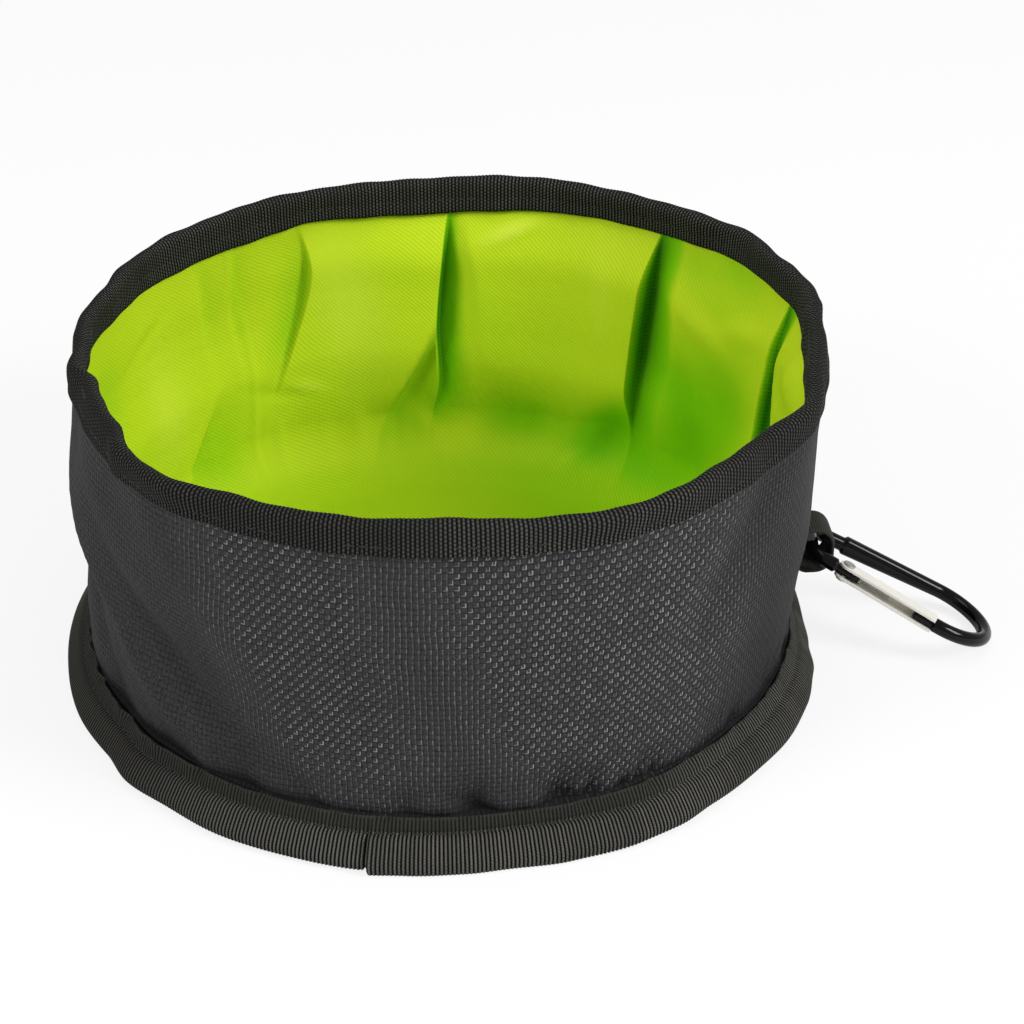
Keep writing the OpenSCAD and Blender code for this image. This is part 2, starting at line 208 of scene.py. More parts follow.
pockets = dict(z=11, tall=4, rows=[  # direction, how far in, width in degrees, slant in degrees per mm
    (272.5, 1.9, 2.4, -0.8), (285, 2.1, 2.6, -0.5), (289.5, 1.5, 1.2, 0.4), (295, 1.1, 0.8, 0.3),
    (297.6, 1.2, 0.7, 0.2), (300, 1, 0.7, 0.2), (207, 1.2, 7, -0.6), (221, 1, 5, -0.6), (236, 0.8, 3.5, -0.6),
    (248, 0.7, 1.6, -0.5), (262, 0.6, 2, -0.6), (318, 1, 1.5, 0.4), (340, 0.8, 2.5, 0.3),
])
seamTucks = dict(z=13, share=0.6, rows=[  # direction, how far in, width in degrees, height reached
    (224, 0.9, 3.0, 9), (236, 1.2, 3.4, 10), (247, 0.7, 2.4, 7), (262, 0.8, 2.6, 8), (272, 1.9, 2.6, 10),
    (285, 2.1, 3.0, 11), (289, 1.2, 1.6, 9), (300, 0.9, 2.6, 8), (312, 1.1, 3.0, 9), (330, 0.8, 3.2, 8),
    (350, 0.9, 3.4, 9), (20, 0.9, 3.0, 9), (48, 1.0, 3.0, 9), (75, 0.8, 3.0, 8), (104, 1.1, 3.2, 10),
    (131, 0.9, 3.0, 8), (158, 1.0, 3.2, 9), (186, 0.8, 3.0, 8), (205, 1.0, 3.2, 9),
])
# small puckers all round the base seam
gathers = dict(count=70, deep=0.45, wide=1.3, z=12.5, tall=6, seed=7, stray=1.8, range=(0.3, 1.4))
luck = np.random.RandomState(gathers["seed"])
gatherAt = np.arange(gathers["count"]) * 360 / gathers["count"]
gatherAt = gatherAt + luck.uniform(-gathers["stray"], gathers["stray"], gathers["count"])
gatherDeep = gathers["deep"] * luck.uniform(*gathers["range"], gathers["count"])


def rimOut(az):  # waves of the rim's crest, outwards
    return ringCurve(az, rimShape, 1)


def rimUp(az):  # waves of the rim's crest, upwards, with the rim's slope
    x, y = bowl["rimX"] * np.cos(np.radians(az)), bowl["rimY"] * np.sin(np.radians(az))
    return ringCurve(az, rimShape, 2) + bowl["tiltX"] * x + bowl["tiltY"] * y


def wallRadius(az, z):
    # middle radius for the height, shifted towards +X, deeper front to back, with dents, tucks and rim waves
    az, z = np.broadcast_arrays(np.asarray(az, float), np.asarray(z, float))
    up = smooth(z, *bowl["deepFrom"])
    frontBack = np.sin(np.radians(az)) ** 2
    r = along(z, bowl["middle"]) + along(z, bowl["lean"]) * np.cos(np.radians(az))
    r = r + (bowl["deepTop"] * up + bowl["deepLow"] * (1 - up)) * frontBack
    for at, height, deep, wide, tall, slant in wallDents:
        r = r - deep * hill(turnFrom(az, at + slant * (z - height)), 0, wide) * hill(z, height, tall)
    for at, deep, wide, tall in seamTucks["rows"]:
        r = r - deep * hill(turnFrom(az, at), 0, wide) * hill(z, seamTucks["z"], tall * seamTucks["share"])
    for at, deep in zip(gatherAt, gatherDeep):
        r = r - deep * hill(turnFrom(az, at), 0, gathers["wide"]) * hill(z, gathers["z"], gathers["tall"])
    return r + bowl["rimShare"] * rimOut(az) * smooth(z, *bowl["rimFrom"])


def pocketDepth(az, z):  # how far the pockets above the base tape go in
    swells = (deep * hill(turnFrom(az, at + slant * (z - pockets["z"])), 0, wide)
              for at, deep, wide, slant in pockets["rows"])
    return sum(swells) * hill(z, pockets["z"], pockets["tall"])


def lifted(az, z):  # heights that follow the rim's waves near the top
    return z + rimUp(az) * smooth(z, *bowl["liftFrom"])


# flange of the base seam: s along it from the seam, t out from its middle
flange = dict(radius=82.61, z=9.09, slope=52, half=2.0, run=9.0, tapeT=0.75, outFrom=(80, 90))


def flangeAt(s, t):  # the point s down the slope and t out from it
    c, n = math.cos(math.radians(flange["slope"])), math.sin(math.radians(flange["slope"]))
    return flange["radius"] + s * c + t * n, flange["z"] - s * n + t * c


baseShape = [  # direction, how far the base tape's outer edge lies out
    (10, -2), (40, 0), (90, 0), (140, 0), (170, -0.2), (185, -0.4), (200, 0.2), (210, -0.2), (217, 1.3),
    (225, 0.5), (235, 1.2), (245, 1), (255, 1.3), (262, 0.5), (270, 0), (276, -0.5), (285, 0.4), (295, 2),
    (301, 2.1), (308, 1), (318, 0.8), (326, 1.2), (335, 0.7), (343, -0.3), (350, -2.1), (357, -2.8),
]


def baseOut(az, r):  # radius with the base tape's waves, from none at the seam
    return r + ringCurve(az, baseShape, 1) * smooth(r, *flange["outFrom"])


# lining folds

linerFolds = [  # crease as (height, direction); ridge depth and the turn it comes in over; turn of the drop
    # beside it; turn of the shaded valley and how deep its shade is, both by height; how the shade fades;
    # side -1 has the drop on the left; fill is how far the valley takes to fill again, in valley turns
    dict(line=[(84, 84.6), (73.8, 85.8), (64.3, 86.7), (49.3, 87.8), (37.7, 88.2), (27.7, 87.5), (19.3, 88),
               (12, 90)], deep=2.4, run=20, drop=0.7, curve=1.1,
         width=[(74, 1.4), (64, 3.2), (49, 5), (38, 5.6), (28, 6.5), (18, 7.5)],
         tone=[(80, 0), (74, 0.62), (64, 0.8), (50, 0.86), (36, 0.84), (26, 0.7), (18, 0.5), (9, 0.1)]),
    dict(line=[(84, 46), (75.5, 47), (61, 48), (47.7, 49), (34.3, 49.7), (21, 50), (12.7, 50.3)],
         deep=2.4, run=18, drop=0.7, curve=0.75, fill=1.0,
         width=[(76, 4.5), (61, 6.4), (52, 7), (42, 7), (34, 6.5), (24, 5)],
         tone=[(84, 0), (77, 0.85), (60, 0.9), (42, 0.9), (34, 0.8), (26, 0.6), (18, 0.4), (8, 0.1)]),
    dict(line=[(84, 13), (75.7, 13.8), (66, 14.2), (52.7, 15.3), (39.3, 17.5), (20, 19)],
         deep=1.4, run=14, drop=0.6, curve=0.6,
         width=[(76, 3.6), (68, 2.6), (62, 1.3), (57, 2.2), (50, 3.2), (42, 4.4)],
         tone=[(84, 0.3), (77, 0.85), (68, 0.82), (62, 0.6), (56, 0.95), (36, 1), (24, 0.5), (12, 0)]),
    dict(line=[(84, 113), (74.3, 112.2), (66, 110.2), (56, 110.8), (46, 113.3), (33.5, 117.3), (26, 119)],
         deep=1.3, run=12, drop=0.9, curve=0.9, side=-1, width=[(74, 4), (62, 7), (40, 7), (32, 5)],
         tone=[(78, 0), (74, 0.12), (64, 0.33), (50, 0.37), (38, 0.3), (30, 0)]),
    dict(line=[(52, 86.6), (46, 87.8), (34.3, 91.7), (21, 96.7), (6, 101.7)], deep=0.8, run=12, drop=2.8,
         curve=0.3, fill=1.0, width=[(46, 0.8), (36, 3.4), (24, 8), (8, 11)],
         tone=[(46, 0), (38, 0.24), (24, 0.3), (12, 0.32), (5, 0.1)]),
    dict(line=[(50, 129), (32.7, 133), (26, 135.8), (16, 139), (4, 143)], deep=0.7, run=9, drop=2.4,
         curve=0.6, fill=1.2, width=[(40, 8), (16, 14)], tone=[(36, 0), (28, 0.26), (16, 0.3), (6, 0.1)]),
    dict(line=[(80, 135.5), (60, 133.5), (40, 133)], deep=0.4, run=8, drop=2.5, curve=0.9, width=[(70, 5)],
         tone=[(76, 0), (68, 0.2), (50, 0.17), (40, 0)]),
    dict(line=[(80, 126), (60, 127), (40, 126)], deep=0.4, run=8, drop=1.8, curve=0.9, width=[(70, 4)],
         tone=[(77, 0), (70, 0.22), (50, 0.2), (36, 0)]),
]
# near side folds: direction at the top and below, ridge, run, drop, curve, low width, shade, its end
for high, low, deep, run, drop, curve, wide, dark, end in [
        (205, 208, 2.0, 20, 1.2, 1.3, 8, (0.4, 0.7), 20), (250, 247, 2.4, 22, 0.9, 1.2, 8, (0.5, 0.85), 18),
        (290, 293, 2.4, 22, 0.9, 1.2, 8, (0.5, 0.85), 18), (331, 328, 2.0, 20, 1.0, 1.3, 7, (0.4, 0.7), 20)]:
    linerFolds.append(dict(line=[(76, high), (30, low)], deep=deep, run=run, drop=drop, curve=curve,
                           width=[(70, 4), (30, wide)],
                           tone=[(80, 0), (74, dark[0]), (45, dark[1]), (end, 0)]))
# seam of the lining as (height, direction)
linerSeam = [(0, 124.8), (14, 123.6), (36, 123.2), (50, 124), (65, 126), (76, 126.5)]
softWaves = [  # direction, height, slant in degrees per mm, how far in, painted shade (below 0 painted light), width, half height
    (72, 15, 0, -1, 0.42, 12, 9), (30, 48, 0, 0, 0.28, 15, 28), (148, 46, 0, 0, -0.08, 12, 24),
    (45, 8, 0, -0.3, 0.46, 12, 16), (36, 22, 0, 0, 0.34, 8, 16), (29, 73, 0, 0, 0.22, 10, 5),
    (70, 71, 0, 0, 0.1, 9, 5), (55, 16, -0.45, -1.6, 0.58, 5.5, 12), (40, 36, 0.3, -1.2, 0.3, 6, 14),
    (27, 34, 0, -1.4, 0.3, 8, 14), (35, 57, 0.9, 1.3, -0.42, 6, 5), (24, 61, -0.9, 0.8, -0.25, 5, 4),
    (40, 70, 0.4, -0.6, 0.14, 5, 5), (74, 70, -1.2, 0.8, -0.4, 4, 4), (56, 54, 0.05, 0.6, -0.14, 4, 18),
    (79, 44, 0.1, 0.3, 0.14, 5, 18), (68, 40, 0, 0, 0.1, 10, 16), (161, 52, 0.2, -0.9, 0.24, 9, 18),
    (147.5, 61, -1.3, -0.6, 0.2, 2.4, 4), (145, 36, 0.1, 0.7, -0.13, 6, 18),
    (130, 12, 0.1, -0.5, 0.16, 7, 9), (113, 28.5, 1.2, 0.8, -0.25, 2, 2.4),
    (121, 30, 1.4, -0.7, 0.16, 2.4, 3), (104, 50, 0.1, 0.5, -0.2, 8, 24),
    (90, 14, 0.6, 0.9, -0.2, 1.6, 4), (85, 9, -0.6, 0.5, -0.2, 4, 4), (62, 7, -0.6, 0.8, -0.2, 1.6, 3),
    (176, 50, 0.2, 0.9, 0, 5, 16), (0, 68, 0, 2.6, 0, 8, 8), (270, 45, 0.3, 1, 0, 8, 18),
    (228, 40, -0.2, -0.9, 0.1, 8, 18), (312, 42, 0.2, -0.9, 0.1, 8, 18),
]
billow = dict(  # heights where the panels come free of the base and join the rim, and how far in they come
    foot=8, low=[(0, 26), (50, 34), (84, 34), (100, 24), (180, 24), (270, 30)], high=(80, 60),
    rows=[(0, 4.4), (9, 4), (16, 2.6), (30, 3.8), (50, 4.6), (88, 4.6), (106, 2), (120, 1.3), (165, 1.3),
          (200, 2.2), (270, 3.2), (330, 3), (351, 4)])
liningLay = dict(least=0.05, atRim=0.12, rimFrom=(79.5, 70), runPower=1.6, fillPower=1.2, fill=1.5,
                 ridge=0.12, seam=0.4, seamWide=0.8, seamTop=(77, 72))


def softLine(z, points):  # the straight lines through the points with their corners rounded
    return sum(along(z + step, points) for step in (-6, -4, -2, 0, 2, 4, 6)) / 7


def liningForm(az, z):
    # how far in from the wall, and how shaded: the panels billow in; each fold comes in from one side to a
    # ridge and drops back beside it into a shaded valley that fills again; soft swells lie over all
    az, z = np.broadcast_arrays(np.asarray(az, float), np.asarray(z, float))
    lay = liningLay
    upright = smooth(z, billow["foot"], ringCurve(az, billow["low"], 1)) * smooth(z, *billow["high"])
    total = ringCurve(az, billow["rows"], 1) * upright
    keep, shade = np.ones_like(az), np.zeros_like(az)
    for f in linerFolds:
        d = f.get("side", 1) * turnFrom(az, softLine(z, f["line"]))
        tone, width = softLine(z, f["tone"]), softLine(z, f["width"])
        share = tone / max(row[1] for row in f["tone"])
        onRidge = smooth(d, -f["drop"], lay["ridge"])
        comesIn = np.clip(1 - np.maximum(d, 0) / f["run"], 0, 1) ** lay["runPower"]
        total = total + f["deep"] * share * upright * comesIn * onRidge
        past = np.maximum(-d - f["drop"], 0)
        valley = np.clip(1 - past / (f.get("fill", lay["fill"]) * width), 0, 1) ** lay["fillPower"]
        keep = keep * (1 - share * valley * (1 - onRidge))
        dark = tone * np.clip(1 - past / width, 0, 1) ** f["curve"] * smooth(d, 0.1, -0.5 * f["drop"])
        shade = np.maximum(shade, dark)
    total = total * keep
    for at, height, slant, deep, dark, wide, tall in softWaves:
        swell = hill(turnFrom(az, at + slant * (z - height)), 0, wide) * hill(z, height, tall)
        total = total + deep * swell * keep
        shade = shade + dark * swell * (1 - np.clip(shade, 0, 1))
    seam = hill(turnFrom(az, along(z, linerSeam)), 0, lay["seamWide"]) * smooth(z, *lay["seamTop"])
    free = lay["atRim"] + (1 - lay["atRim"]) * smooth(z, *lay["rimFrom"])
    return np.maximum(total, lay["least"]) * free + lay["seam"] * seam, shade


def liningRadius(az, z):  # inner wall less the layers and the folds
    return wallRadius(az, z) - pocketDepth(az, z) - bowl["clothT"] - bowl["layGap"] - liningForm(az, z)[0]


# shader helpers

def makeTree(name):  # new material with an empty node tree
    material = bpy.data.materials.new(name)
    material.use_nodes = True
    material.node_tree.nodes.clear()
    return material, material.node_tree


def feed(tree, socket, value):  # link a socket, or set its value
    if isinstance(value, bpy.types.NodeSocket):
        tree.links.new(value, socket)
    else:
        socket.default_value = value


def calc(tree, op, a, b=0.0, c=0.0):  # one Math node
    n = tree.nodes.new("ShaderNodeMath")
    n.operation = op
    for socket, value in zip(n.inputs, (a, b, c)):
        feed(tree, socket, value)
    return n.outputs[0]


def times(tree, *values):  # product of several
    result = values[0]
    for value in values[1:]:
        result = calc(tree, "MULTIPLY", result, value)
    return result


def ramp(tree, value, a, b, lo=0.0, hi=1.0):  # S curve from lo to hi as the value goes from a to b
    n = tree.nodes.new("ShaderNodeMapRange")
    n.interpolation_type = "SMOOTHSTEP"
    feed(tree, n.inputs["Value"], value)
    for k, v in (("From Min", a), ("From Max", b), ("To Min", lo), ("To Max", hi)):
        feed(tree, n.inputs[k], v)
    return n.outputs["Result"]


def band(tree, value, a, b, soft):  # 1 between a and b, with soft ends
    return times(tree, ramp(tree, value, a - soft, a + soft), ramp(tree, value, b + soft, b - soft))


def arch(tree, value, power):  # 0 at whole numbers, round and 1 between them
    wave = calc(tree, "SINE", times(tree, calc(tree, "FRACT", value), math.pi))
    return calc(tree, "POWER", wave, power)


def blendColour(tree, factor, a, b):  # a where the factor is 0, b where it is 1
    n = tree.nodes.new("ShaderNodeMix")
    n.data_type = "RGBA"
    feed(tree, n.inputs["Factor"], factor)
    feed(tree, n.inputs["A"], a)
    feed(tree, n.inputs["B"], b)
    return n.outputs["Result"]


def noise(tree, vector, scale, detail=3.0, stretch=None):  # cloudy values about 0.5
    if stretch:
        m = tree.nodes.new("ShaderNodeMapping")
        feed(tree, m.inputs["Vector"], vector)
        m.inputs["Scale"].default_value = stretch
        vector = m.outputs["Vector"]
    n = tree.nodes.new("ShaderNodeTexNoise")
    feed(tree, n.inputs["Vector"], vector)
    feed(tree, n.inputs["Scale"], scale)
    n.inputs["Detail"].default_value = detail
    return n.outputs["Fac"]


def groupOf(name, inputs, outputs):  # empty node group with its sockets
    tree = bpy.data.node_groups.new(name, "ShaderNodeTree")
    for n, kind, value in inputs:
        s = tree.interface.new_socket(name=n, in_out="INPUT", socket_type=kind)
        if value is not None:
            s.default_value = value
    for n in outputs:
        tree.interface.new_socket(name=n, in_out="OUTPUT", socket_type="NodeSocketFloat")
    return tree, tree.nodes.new("NodeGroupInput").outputs, tree.nodes.new("NodeGroupOutput").inputs


def useGroup(tree, group, **values):  # place a node group and feed its inputs
    n = tree.nodes.new("ShaderNodeGroup")
    n.node_tree = group
    for k, v in values.items():
        feed(tree, n.inputs[k], v)
    return n.outputs


def split(tree, vector):  # its x, y and z
    n = tree.nodes.new("ShaderNodeSeparateXYZ")
    feed(tree, n.inputs[0], vector)
    return n.outputs[0], n.outputs[1], n.outputs[2]


def chance(tree, w):  # a number between 0 and 1 for each value of w
    n = tree.nodes.new("ShaderNodeTexWhiteNoise")
    n.noise_dimensions = "1D"
    feed(tree, n.inputs["W"], w)
    return n.outputs["Value"]


def uvOf(tree):  # lengths along the cloth, in mm
    n = tree.nodes.new("ShaderNodeUVMap")
    n.uv_map = "cloth"
    return n.outputs["UV"]


def maskOf(tree, name):  # the numbers that addMask put on the points
    n = tree.nodes.new("ShaderNodeAttribute")
    n.attribute_name = name
    return n.outputs["Fac"]


def objectOf(tree):  # place in the object, in metres
    return tree.nodes.new("ShaderNodeTexCoord").outputs["Object"]


def finishTree(tree, colour, rough, height, bump, distance, **fixed):  # Principled shader with a bump
    shader = tree.nodes.new("ShaderNodeBsdfPrincipled")
    out = tree.nodes.new("ShaderNodeOutputMaterial")
    feed(tree, shader.inputs["Base Color"], colour)
    feed(tree, shader.inputs["Roughness"], rough)
    for k, v in fixed.items():
        shader.inputs[k].default_value = v
    b = tree.nodes.new("ShaderNodeBump")
    b.inputs["Strength"].default_value = bump
    b.inputs["Distance"].default_value = distance * mm
    feed(tree, b.inputs["Height"], height)
    tree.links.new(b.outputs["Normal"], shader.inputs["Normal"])
    tree.links.new(shader.outputs["BSDF"], out.inputs["Surface"])


vectorIn = ("Vector", "NodeSocketVector", None)
number = "NodeSocketFloat"

# plain weave of flat yarns: cell by cell the warp or the weft lies on top; each warp float has a painted
# highlight on its right edge, and where the cloth is rubbed also a foot and a second edge
weaveGroup, gin, gout = groupOf(
    "plainWeave", [vectorIn, ("Warp", number, 1.15), ("Weft", number, 1.35), ("Wear", number, 0.5)],
    ["Height", "Mark", "Yarn"])
t = weaveGroup
u, v, _ = split(t, gin["Vector"])
u = calc(t, "ADD", u, noise(t, gin["Vector"], 0.11, 2.0))       # yarns wander a little
v = calc(t, "ADD", v, noise(t, gin["Vector"], 0.09, 2.0, stretch=(0.7, 1.3, 1.0)))
cellX, cellY = calc(t, "DIVIDE", u, gin["Warp"]), calc(t, "DIVIDE", v, gin["Weft"])
atX, atY = calc(t, "FLOOR", cellX), calc(t, "FLOOR", cellY)
inX, inY = calc(t, "FRACT", cellX), calc(t, "FRACT", cellY)
warpUp = calc(t, "FLOORED_MODULO", calc(t, "ADD", atX, atY), 2.0)
weftUp = calc(t, "SUBTRACT", 1.0, warpUp)
warpHigh = times(t, arch(t, cellX, 0.5), calc(t, "MULTIPLY_ADD", arch(t, cellY, 1.0), 0.5, 0.5))
weftHigh = times(t, arch(t, cellY, 0.5), calc(t, "MULTIPLY_ADD", arch(t, cellX, 1.0), 0.5, 0.35))
feed(t, gout["Height"], calc(t, "ADD", times(t, warpUp, warpHigh), times(t, weftUp, weftHigh)))
edge = times(t, band(t, inX, 0.72, 0.9, 0.05), band(t, inY, 0.12, 0.86, 0.1))
foot = times(t, band(t, inY, 0.12, 0.26, 0.05), band(t, inX, 0.12, 0.86, 0.08),
             ramp(t, gin["Wear"], 0.3, 0.6))
second = times(t, band(t, inX, 0.2, 0.38, 0.06), band(t, inY, 0.12, 0.66, 0.1),
               ramp(t, gin["Wear"], 0.55, 0.9))
edge = times(t, edge, ramp(t, gin["Wear"], 0.05, 0.7, 0.12, 1.0))
mark = calc(t, "MAXIMUM", edge, calc(t, "MAXIMUM", times(t, foot, 0.8), times(t, second, 0.7)))
each = chance(t, calc(t, "MULTIPLY_ADD", atX, 13.7, times(t, atY, 71.3)))
mark = times(t, mark, warpUp, calc(t, "MULTIPLY_ADD", each, 0.75, 0.25))
seam = times(t, band(t, inX, 0.82, 0.94, 0.05), band(t, gin["Wear"], 0.2, 0.5, 0.15), 0.22)
feed(t, gout["Mark"], calc(t, "MAXIMUM", mark, seam))
yarn = calc(t, "ADD", times(t, chance(t, atX), warpUp),
            times(t, chance(t, calc(t, "ADD", atY, 71.3)), weftUp))
feed(t, gout["Yarn"], yarn)

# soft cloudy change of tone over a whole piece, with fine specks
cloudGroup, gin, gout = groupOf("clothCloud", [vectorIn, ("Wide", number, 18.0)], ["Cloud", "Speck"])
t = cloudGroup
feed(t, gout["Cloud"], ramp(t, noise(t, gin["Vector"], gin["Wide"]), 0.3, 0.7))
feed(t, gout["Speck"], ramp(t, noise(t, gin["Vector"], 2600.0, 2.0), 0.35, 0.7))

# ribs across a tape, each rib made of yarn turns that stand staggered beside the next rib's
ribGroup, gin, gout = groupOf(
    "tapeRibs", [vectorIn, ("Rib", number, 1.05), ("Turn", number, 0.55), ("Bead", number, 0.4)],
    ["Height", "Top", "Yarn"])
t = ribGroup
u, v, _ = split(t, gin["Vector"])
ribX = calc(t, "DIVIDE", u, gin["Rib"])
odd = calc(t, "FLOORED_MODULO", calc(t, "FLOOR", ribX), 2.0)
rib = arch(t, ribX, 0.6)
turn = arch(t, calc(t, "MULTIPLY_ADD", odd, 0.5, calc(t, "DIVIDE", v, gin["Turn"])), 0.7)
bead = calc(t, "SUBTRACT", 1.0, times(t, gin["Bead"], calc(t, "SUBTRACT", 1.0, turn)))
feed(t, gout["Height"], times(t, rib, bead))
feed(t, gout["Top"], times(t, ramp(t, rib, 0.66, 0.99), bead))
feed(t, gout["Yarn"], chance(t, calc(t, "FLOOR", ribX)))


# materials

outerCloth = dict(gap=(0.008, 0.008, 0.009, 1), yarn=(0.0295, 0.029, 0.0305, 1),
                  grain=(0.055, 0.055, 0.056, 1), cloud=(0.020, 0.020, 0.022, 1),
                  rubbed=(0.34, 0.34, 0.342, 1), lit=(0.048, 0.048, 0.051, 1),
                  shadow=(0.007, 0.007, 0.008, 1), warp=1.1798, weft=1.37, clouds=22.0)
outerFabric, t = makeTree("charcoalOxford")
w = useGroup(t, weaveGroup, Vector=uvOf(t), Warp=outerCloth["warp"], Weft=outerCloth["weft"],
             Wear=maskOf(t, "wear"))
c = useGroup(t, cloudGroup, Vector=objectOf(t), Wide=outerCloth["clouds"])
share = times(t, calc(t, "MULTIPLY_ADD", w["Yarn"], 0.3, ramp(t, w["Height"], 0.2, 0.75)),
              ramp(t, maskOf(t, "wear"), 0.0, 0.5, 0.75, 1.0))
tone = blendColour(t, share, outerCloth["gap"], outerCloth["yarn"])
tone = blendColour(t, times(t, c["Cloud"], 0.35), tone, outerCloth["cloud"])
tone = blendColour(t, times(t, c["Speck"], 0.55), tone, outerCloth["grain"])
# painted light on the swells and painted shade in the hollows, above the hem, in the pockets and on one side
tone = blendColour(t, ramp(t, maskOf(t, "shade"), 0.0, -1.0, 0.0, 0.6), tone, outerCloth["lit"])
# the marks' colour is partly rubbed wear and partly a painted highlight on each warp float's edge
colour = blendColour(t, times(t, w["Mark"], calc(t, "MULTIPLY_ADD", c["Speck"], 0.4, 0.6)), tone,
                     outerCloth["rubbed"])
colour = blendColour(t, ramp(t, maskOf(t, "shade"), 0.0, 1.0, 0.0, 0.85), colour, outerCloth["shadow"])
finishTree(t, colour, ramp(t, w["Height"], 0, 1, 0.8, 0.6), w["Height"], 0.8, 0.3,
           **{"Specular IOR Level": 0.06})

# the lining's darker colours paint shade in its folds and valleys; pale serves both the twill lines and
# painted highlights
liningCloth = dict(main=(0.450, 0.620, 0.001, 1), deep=(0.385, 0.575, 0.001, 1),
                   pale=(0.600, 0.720, 0.060, 1), paintedShade=(0.150, 0.480, 0.000, 1),
                   crease=(0.003, 0.150, 0.002, 1), twill=1.14, slant=-0.92, pick=0.7, clouds=26.0)
liningFabric, t = makeTree("limeCoatedTwill")
u, v, _ = split(t, uvOf(t))
line = calc(t, "DIVIDE", calc(t, "SUBTRACT", v, times(t, u, liningCloth["slant"])), liningCloth["twill"])
pick = arch(t, calc(t, "DIVIDE", u, liningCloth["pick"]), 1.0)
twill = times(t, arch(t, line, 1.0), calc(t, "MULTIPLY_ADD", pick, 0.3, 0.7))
c = useGroup(t, cloudGroup, Vector=objectOf(t), Wide=liningCloth["clouds"])
# painted shade from the shade mask: darker and greener in folds and valleys, near black green in the creases;
# below 0 a painted highlight
shade = maskOf(t, "shade")
tone = blendColour(t, times(t, c["Cloud"], 0.25), liningCloth["main"], liningCloth["deep"])
tone = blendColour(t, ramp(t, shade, 0.0, -0.4), tone, liningCloth["pale"])
tone = blendColour(t, ramp(t, shade, 0.0, 0.55), tone, liningCloth["paintedShade"])
tone = blendColour(t, ramp(t, shade, 0.45, 1.0), tone, liningCloth["crease"])
# pale twill lines, fainter where shade is painted
colour = blendColour(t, times(t, twill, ramp(t, shade, 0.0, 0.6, 0.5, 0.08)), tone, liningCloth["pale"])
finishTree(t, colour, ramp(t, twill, 0, 1, 0.52, 0.44), twill, 0.3, 0.2, **{"Specular IOR Level": 0.03})

rimCloth = dict(gap=(0.003, 0.003, 0.0025, 1), yarn=(0.048, 0.048, 0.044, 1), darkTone=(0.011, 0.011, 0.009, 1),
                rubbed=(0.112, 0.112, 0.104, 1), rib=0.92, turn=0.86, bead=0.95)
baseCloth = dict(gap=(0.003, 0.003, 0.0025, 1), yarn=(0.134, 0.131, 0.118, 1), darkTone=(0.013, 0.013, 0.011, 1),
                 rubbed=(0.112, 0.110, 0.099, 1), fray=(0.032, 0.032, 0.028, 1),
                 rib=0.87, turn=0.5, bead=0.35, selvage=0.8, stitched=3.4)


def tapeTree(name, cloth, banded):
    # light rib tops over dark gaps, and painted shade from a mask; a banded tape is duller above its
    # stitching, with a fuzzy bright selvage
    material, t = makeTree(name)
    vector = uvOf(t)
    w = useGroup(t, ribGroup, Vector=vector, Rib=cloth["rib"], Turn=cloth["turn"], Bead=cloth["bead"])
    c = useGroup(t, cloudGroup, Vector=objectOf(t), Wide=60.0)
    yarn = blendColour(t, maskOf(t, "wear"), cloth["yarn"], cloth["rubbed"])
    tone = blendColour(t, w["Top"], cloth["gap"], yarn)
    # random dullness of the yarns, and painted shade from the shade mask
    darkShare = calc(t, "MAXIMUM", times(t, calc(t, "ADD", w["Yarn"], c["Cloud"]), 0.22), maskOf(t, "shade"))
    if banded:
        v = split(t, vector)[1]
        upper = times(t, ramp(t, v, cloth["stitched"], cloth["stitched"] - 0.5, 0.0, 0.8),
                      calc(t, "SUBTRACT", 1.0, maskOf(t, "wear")))
        darkShare = calc(t, "MAXIMUM", darkShare, upper)
    colour = blendColour(t, darkShare, tone, cloth["darkTone"])
    if banded:
        fuzz = noise(t, vector, 1.4, 3.0, stretch=(1.0, 0.6, 1.0))
        edge = times(t, ramp(t, v, cloth["selvage"], cloth["selvage"] - 0.45), ramp(t, fuzz, 0.35, 0.6))
        colour = blendColour(t, edge, colour, cloth["fray"])
    finishTree(t, colour, 0.8, w["Height"], 0.7, 0.3, **{"Specular IOR Level": 0.06})
    return material


rimTapeFabric = tapeTree("rimGrosgrain", rimCloth, False)
baseTapeFabric = tapeTree("baseGrosgrain", baseCloth, True)

threadLook = dict(low=(0.010, 0.010, 0.009, 1), high=(0.045, 0.044, 0.039, 1), twist=14.0)
threadStuff, t = makeTree("sewingThread")
twist = calc(t, "SINE", times(t, split(t, uvOf(t))[0], threadLook["twist"]))
colour = blendColour(t, ramp(t, twist, -1, 1), threadLook["low"], threadLook["high"])
finishTree(t, colour, 0.65, twist, 0.4, 0.1, **{"Specular IOR Level": 0.1})

loopCloth = dict(gap=(0.024, 0.024, 0.020, 1), yarn=(0.050, 0.049, 0.041, 1), darkTone=(0.025, 0.025, 0.020, 1),
                 rib=0.6, turn=1.5, bead=0.3)
webbing, t = makeTree("oliveWebbing")
w = useGroup(t, ribGroup, Vector=uvOf(t), Rib=loopCloth["rib"], Turn=loopCloth["turn"],
             Bead=loopCloth["bead"])
tone = blendColour(t, w["Top"], loopCloth["gap"], loopCloth["yarn"])
colour = blendColour(t, times(t, w["Yarn"], 0.3), tone, loopCloth["darkTone"])
finishTree(t, colour, 0.75, w["Height"], 0.22, 0.2, **{"Specular IOR Level": 0.08})


def speckled(name, scale, dark, light, rough, bump, detail=3.0, stretch=None, **fixed):
    # two tones mixed by a noise, which also drives the roughness and the bump
    material, t = makeTree(name)
    spot = noise(t, objectOf(t), scale, detail, stretch)
    colour = blendColour(t, spot, dark, light)
    finishTree(t, colour, ramp(t, spot, 0.3, 0.7, *rough), spot, bump, 0.1, **fixed)
    return material


